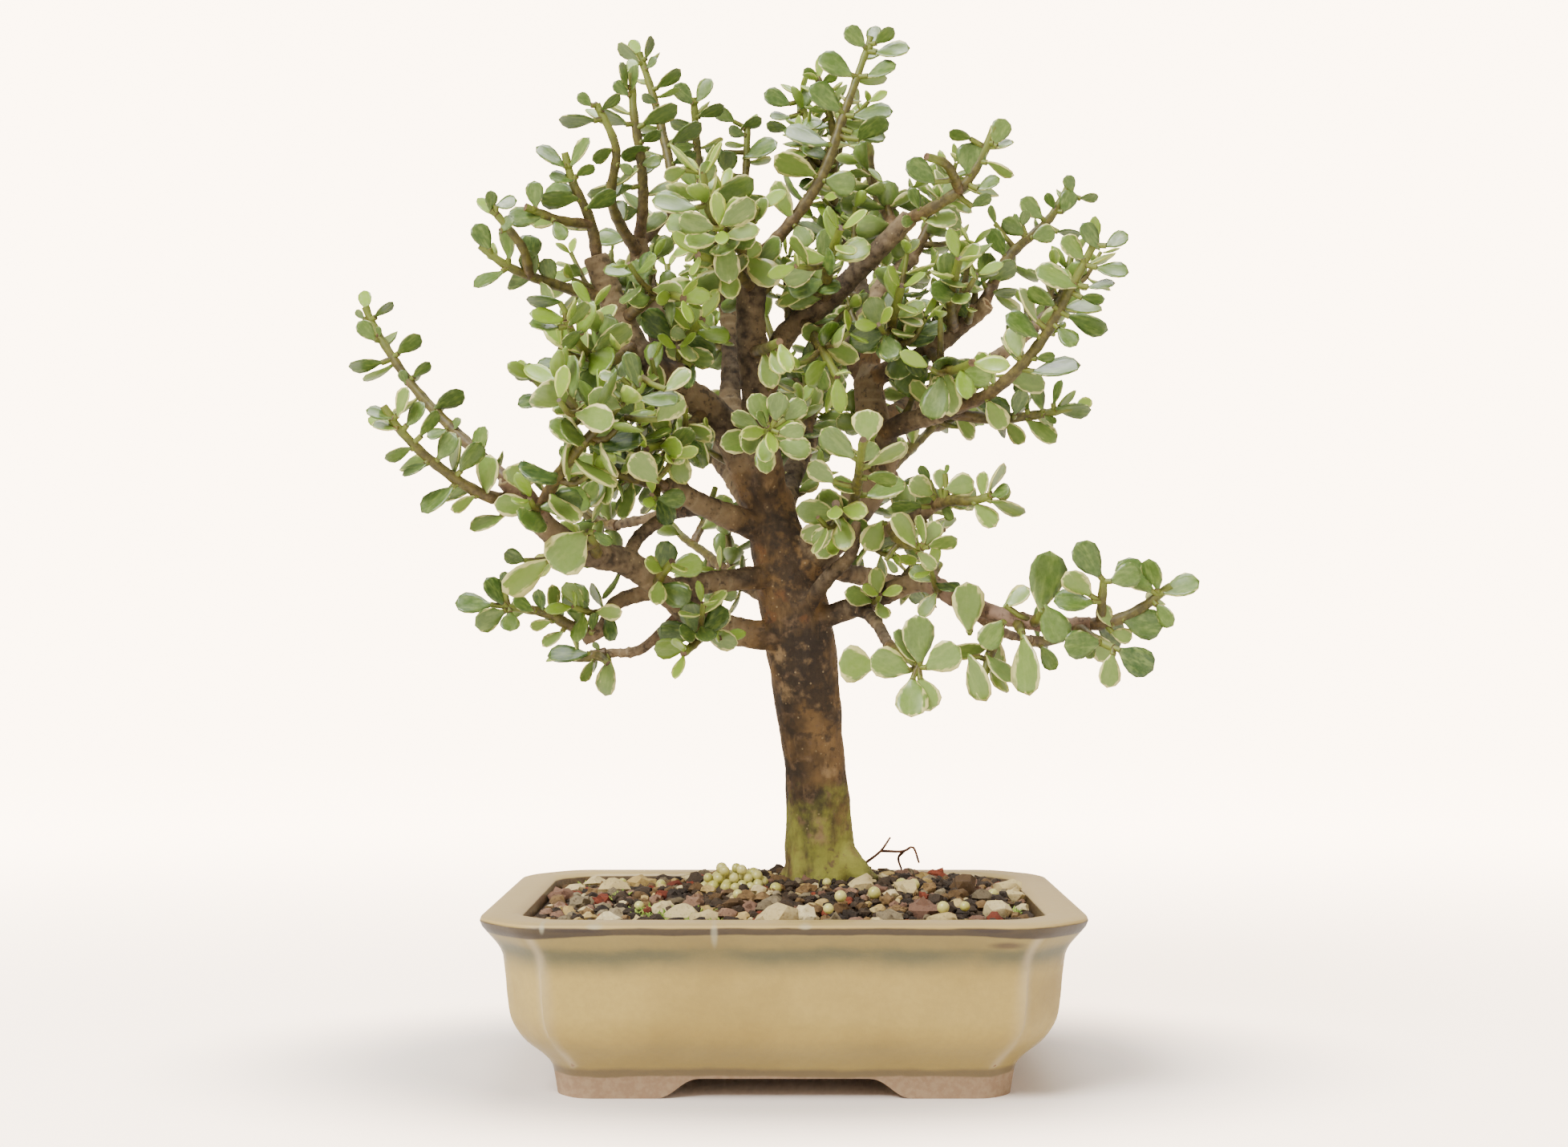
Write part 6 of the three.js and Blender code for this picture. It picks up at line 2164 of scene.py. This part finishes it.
def stem_finish():
    """Young stems: grey-brown below, olive above, yellow-green at the tip."""
    finish = Finish("young_stem", roughness=0.55)
    youth = finish.attribute("youth")
    spots, height = finish.grain(500)
    old = finish.mix(spots, srgb(84, 64, 40), srgb(122, 98, 66))
    young = finish.mix(spots, srgb(74, 68, 20), srgb(104, 98, 34))
    body = finish.mix(finish.between(youth, 0.1, 0.6), old, young)
    finish.colour(finish.mix(finish.between(youth, 0.75, 1, 0, 0.6), body, srgb(130, 150, 52)))
    finish.bump(height, 0.3, 0.0004)
    return finish.material


def bark_finish():
    """Brown bark with dark and pale patches, two of the dark ones painted shadow under a knot and at the
    foot, ringed grey limbs, pale cut ends, and algae round the foot.
    """
    finish = Finish("bark", roughness=0.85)
    height = finish.part(finish.place, "Z")
    limb, ring, cut = (finish.attribute(name) for name in ("limb", "ring", "cut"))
    spots, grain = finish.grain(420)
    broad = finish.noise(60, 4)
    upright = finish.noise(60, 5, finish.stretched((6, 6, 1.5)), 0.65)
    ragged = finish.product(finish.math("SUBTRACT", finish.noise(300, 5), 0.5), 2.4)
    marks = ("rust", "dark", "pale", "rosy")
    rust, dark, pale, soft = (finish.math("ADD", finish.attribute(name), ragged) for name in marks)
    trunk = finish.coats(
        finish.mix(finish.between(broad, 0.38, 0.62), srgb(48, 36, 20), srgb(126, 98, 58)),
        (finish.between(upright, 0.55, 0.75, 0, 0.45), srgb(170, 140, 96)),
        (finish.between(upright, 0.44, 0.3, 0, 0.5), srgb(38, 28, 17)),
        (finish.between(soft, 0.05, 0.6, 0, 0.75), srgb(134, 106, 80)),
        (finish.between(rust, 0.3, 0.7, 0, 0.55), srgb(126, 82, 44)),
        # Dark patches of the bark; the ones under a knot and at the trunk's foot are painted shadow
        (finish.between(dark, 0.1, 0.6, 0, 0.85), srgb(44, 33, 21)),
        (finish.between(pale, 0.1, 0.9, 0, 0.6), srgb(170, 142, 98)),
    )
    ringed = finish.product(ring, finish.between(broad, 0.4, 0.6, 0.15, 0.75))
    rosy = finish.mix(broad, srgb(126, 98, 78), srgb(168, 140, 118))
    wood = finish.coats(
        finish.mix(finish.between(broad, 0.38, 0.6), srgb(58, 44, 27), srgb(132, 112, 80)),
        (finish.product(spots, 0.3), srgb(150, 132, 102)),
        (ringed, srgb(178, 160, 126)),
        (finish.between(finish.attribute("rosy"), 0, 0.5, 0, 0.8), rosy),
    )
    sparse = finish.between(finish.noise(210, 1), 0.52, 0.6)
    specks = finish.product(finish.between(finish.cells(520), 0.2, 0.1), sparse)
    damp = finish.between(finish.shifted(height, 90, 0.05, 5), 0.079, 0.068)
    patchy = finish.math("ADD", finish.noise(110, 4), finish.product(upright, 0.4))
    bare = finish.between(dark, 0.2, 0.5, 1, 0.1)
    algae = finish.product(damp, finish.product(finish.between(patchy, 0.5, 0.8, 0.12, 1), bare))
    finish.colour(finish.coats(
        finish.mix(limb, trunk, wood),
        (finish.product(specks, 0.55), srgb(176, 156, 118)),
        (finish.between(grain, 0.44, 0.34, 0, 0.6), srgb(40, 30, 20)),
        (algae, finish.mix(broad, srgb(108, 116, 28), srgb(176, 174, 84))),
        (finish.between(cut, 0.04, 0.14), srgb(196, 172, 128)),
        (finish.between(cut, 0.3, 0.42), finish.mix(spots, srgb(84, 62, 40), srgb(140, 112, 76))),
    ))
    finish.bump(finish.math("ADD", finish.product(upright, 0.7), grain), 0.5, 0.0008)
    return finish.material


# The paler drips of the glaze below the rim: pixel of each, and how wide and long it runs
DRIPS = [((890, 1168), 1.3, 5), ((674, 1158), 1, 2.4), ((740, 1157), 3, 1), ((1004, 1157), 2.4, 1)]
DRIP_DEPTH = 20 * MM
DARK_DRIPS = [((1259, 1183), 7, 1.5), ((718, 1162), 12, 1), ((1236, 1162), 9, 1)]


def on_front(across, down):
    """The point of the pot's front that a pixel looks at, near the rim."""
    return on_sight(across, down, -POT_DEPTH / 2 / MM + POT_MIDDLE.y / MM + 3)


def glaze_finish():
    """Golden tan glaze, grey-green below the rim, dark along the rim's edge, darker inside with painted
    shade, bare clay feet.
    """
    finish = Finish("tan_glaze", roughness=0.42, coat=0.12)
    finish.shader.inputs["Coat Roughness"].default_value = 0.15

    def band(value, low, high, *ends):
        """A mask between two heights or widths in millimetres."""
        return finish.between(value, low * MM, high * MM, *ends)

    def away(axis, middle):
        return finish.math("ABSOLUTE", finish.math("SUBTRACT", finish.part(finish.place, axis), middle))

    def drips(places, share, colour):
        """Coats of glaze run down the front, each at its pixel and of its own width and length."""
        for place, wide, long in places:
            spot = finish.spot(on_front(*place), (wide * MM, DRIP_DEPTH, long * MM))
            yield finish.product(spot, share), colour

    height = finish.part(finish.place, "Z")
    corner = finish.product(band(away("X", POT_MIDDLE.x), 45, 68), band(away("Y", POT_MIDDLE.y), 30, 50))
    ridge = finish.between(finish.attribute("ridge"), 0, 1)
    spots, grain = finish.grain(520)
    cloud = finish.noise(26, 3)
    level = finish.shifted(height, 55, 4.5 * MM, 4)
    low = finish.shifted(height, 50, 2 * MM)
    wide = finish.product(band(level, 34.5, 38.5), band(height, 48.4, 47))
    core = finish.product(band(level, 37, 41.2), band(level, 44.6, 41.6))
    body = finish.coats(
        finish.mix(finish.between(cloud, 0.35, 0.65), srgb(178, 152, 74), srgb(198, 172, 88)),
        (finish.product(spots, 0.14), srgb(146, 126, 66)),
        (band(level, 20, 13, 0, 0.5), srgb(144, 128, 70)),
        (band(low, 9.2, 7.6, 0, 0.8), srgb(104, 88, 64)),
        (finish.product(wide, 0.55), srgb(132, 122, 78)),
        (finish.product(core, finish.between(cloud, 0.35, 0.55, 0.35, 0.8)), srgb(90, 94, 68)),
        *drips(DARK_DRIPS, 0.75, srgb(78, 56, 44)),
        (finish.product(ridge, 0.55), srgb(214, 196, 158)),
        (band(height, 48.5, 49.5), finish.mix(cloud, srgb(190, 164, 98), srgb(206, 182, 120))),
    )
    thick = finish.math("SUBTRACT", 47.4 * MM, finish.product(corner, 1.3 * MM))
    upper = finish.shifted(height, 60, 1.2 * MM)
    starts = finish.between(upper, finish.math("SUBTRACT", thick, 0.6 * MM), thick)
    line = finish.product(starts, band(upper, 49.3, 48.7))
    # The inner wall below the rim, painted dark: its own darker colour with painted shade
    inner_dark_and_shade = finish.product(finish.attribute("inside"), band(height, 49.5, 48.5))
    body = finish.coats(
        body,
        (finish.product(line, 0.9), finish.mix(corner, srgb(46, 31, 26), srgb(40, 25, 21))),
        *drips(DRIPS, 0.5, srgb(200, 198, 168)),
        (inner_dark_and_shade, finish.mix(spots, srgb(78, 62, 38), srgb(112, 92, 60))),
    )
    worn = finish.product(finish.between(cloud, 0.5, 0.62), ridge)
    clay = finish.mix(spots, srgb(158, 132, 104), srgb(172, 148, 118))
    clay = finish.mix(worn, clay, srgb(140, 98, 76))
    edge = finish.math("SUBTRACT", finish.shifted(height, 55, 2.4 * MM), finish.product(ridge, 3.5 * MM))
    finish.colour(finish.mix(band(edge, 6.6, 6), body, clay))
    finish.rough(band(edge, 6, 6.6, 0.85, 0.4))
    finish.link(band(edge, 6, 6.6, 0, 0.14), finish.shader.inputs["Coat Weight"])
    finish.bump(finish.math("ADD", finish.product(finish.noise(90, 2), 2), grain), 0.12, 0.0006)
    return finish.material


def stone_finish(name, dark, light, pits=0.5):
    finish = Finish(name, roughness=0.9)
    spots, height = finish.grain(900)
    finish.colour(finish.coats(
        finish.mix(finish.attribute("tint"), dark, light),
        (finish.product(finish.math("SUBTRACT", 1, spots), 0.45), dark),
        (finish.between(finish.cells(800), 0.35, 0.1, 0, pits), srgb(60, 44, 30)),
    ))
    finish.bump(height, 0.6, 0.0006)
    return finish.material


def soil_finish():
    finish = Finish("dark_soil", roughness=0.95)
    spots, height = finish.grain(700)
    finish.colour(finish.mix(spots, srgb(36, 26, 16), srgb(82, 62, 40)))
    finish.bump(height, 0.8, 0.001)
    return finish.material


def pellet_finish():
    finish = Finish("pellet_coat", roughness=0.35, coat=0.2)
    spots, height = finish.grain(600)
    body = finish.mix(finish.attribute("tint"), srgb(194, 192, 84), srgb(228, 222, 132))
    finish.colour(finish.mix(finish.product(spots, 0.2), body, srgb(238, 232, 170)))
    finish.bump(height, 0.2, 0.0003)
    return finish.material


def moss_finish():
    finish = Finish("moss", roughness=0.8)
    finish.colour(finish.mix(finish.attribute("tint"), srgb(84, 124, 26), srgb(176, 196, 84)))
    return finish.material


def dry_root_finish():
    finish = Finish("dry_root", roughness=0.8)
    spots, _ = finish.grain(500)
    finish.colour(finish.mix(spots, srgb(74, 42, 24), srgb(126, 84, 52)))
    return finish.material


photo_camera()
studio()
finishes = {"leaf": leaf_finish(), "stem": stem_finish(), "bark": bark_finish()}

wood = woody_piece()
wood.data.materials.clear()
wood.data.materials.append(finishes["bark"])
finish_piece(wood, "bark", "trunk")

pot = pot_piece()
pot.data.materials.clear()
pot.data.materials.append(glaze_finish())
finish_piece(pot, "glaze", "pot")
bpy.ops.object.shade_smooth_by_angle(angle=POT_SMOOTH)

bed = soil_piece()
bed.data.materials.append(soil_finish())
finish_piece(bed, "gravel", "soil")
gravel_pieces({
    "dark": stone_finish("dark_lava", srgb(38, 29, 20), srgb(72, 56, 38)),
    "brown": stone_finish("brown_stone", srgb(84, 62, 34), srgb(150, 120, 74)),
    "red": stone_finish("red_lava", srgb(104, 42, 22), srgb(146, 68, 38)),
    "grey": stone_finish("grey_stone", srgb(104, 92, 68), srgb(166, 152, 118)),
    "mauve": stone_finish("mauve_stone", srgb(116, 84, 66), srgb(158, 126, 100)),
    "cream": stone_finish("cream_pumice", srgb(206, 184, 122), srgb(240, 226, 178), 0.35),
    "tan": stone_finish("tan_stone", srgb(176, 148, 84), srgb(216, 190, 122), 0.25),
})
pellet_piece(pellet_finish())
moss_piece(moss_finish())
dry_root_piece(dry_root_finish())

room = Room()
for made in (TRUNK, *BRANCHES.values()):
    path = smooth_route([on_sight(*point) for point in made["route"]], ROOM_STEP)
    room.add_stem(path, spread_radii(made["radii"], len(path)), WOOD)
models = {name: leaf_model(name, half) for name, half in LEAF_FORMS.items()}
for model in models.values():
    model.data.materials.append(finishes["leaf"])
shoots = grow_leaves(room)
for shoot in shoots:
    shoot_piece(shoot, models, finishes)
for model in models.values():
    bpy.data.objects.remove(model)
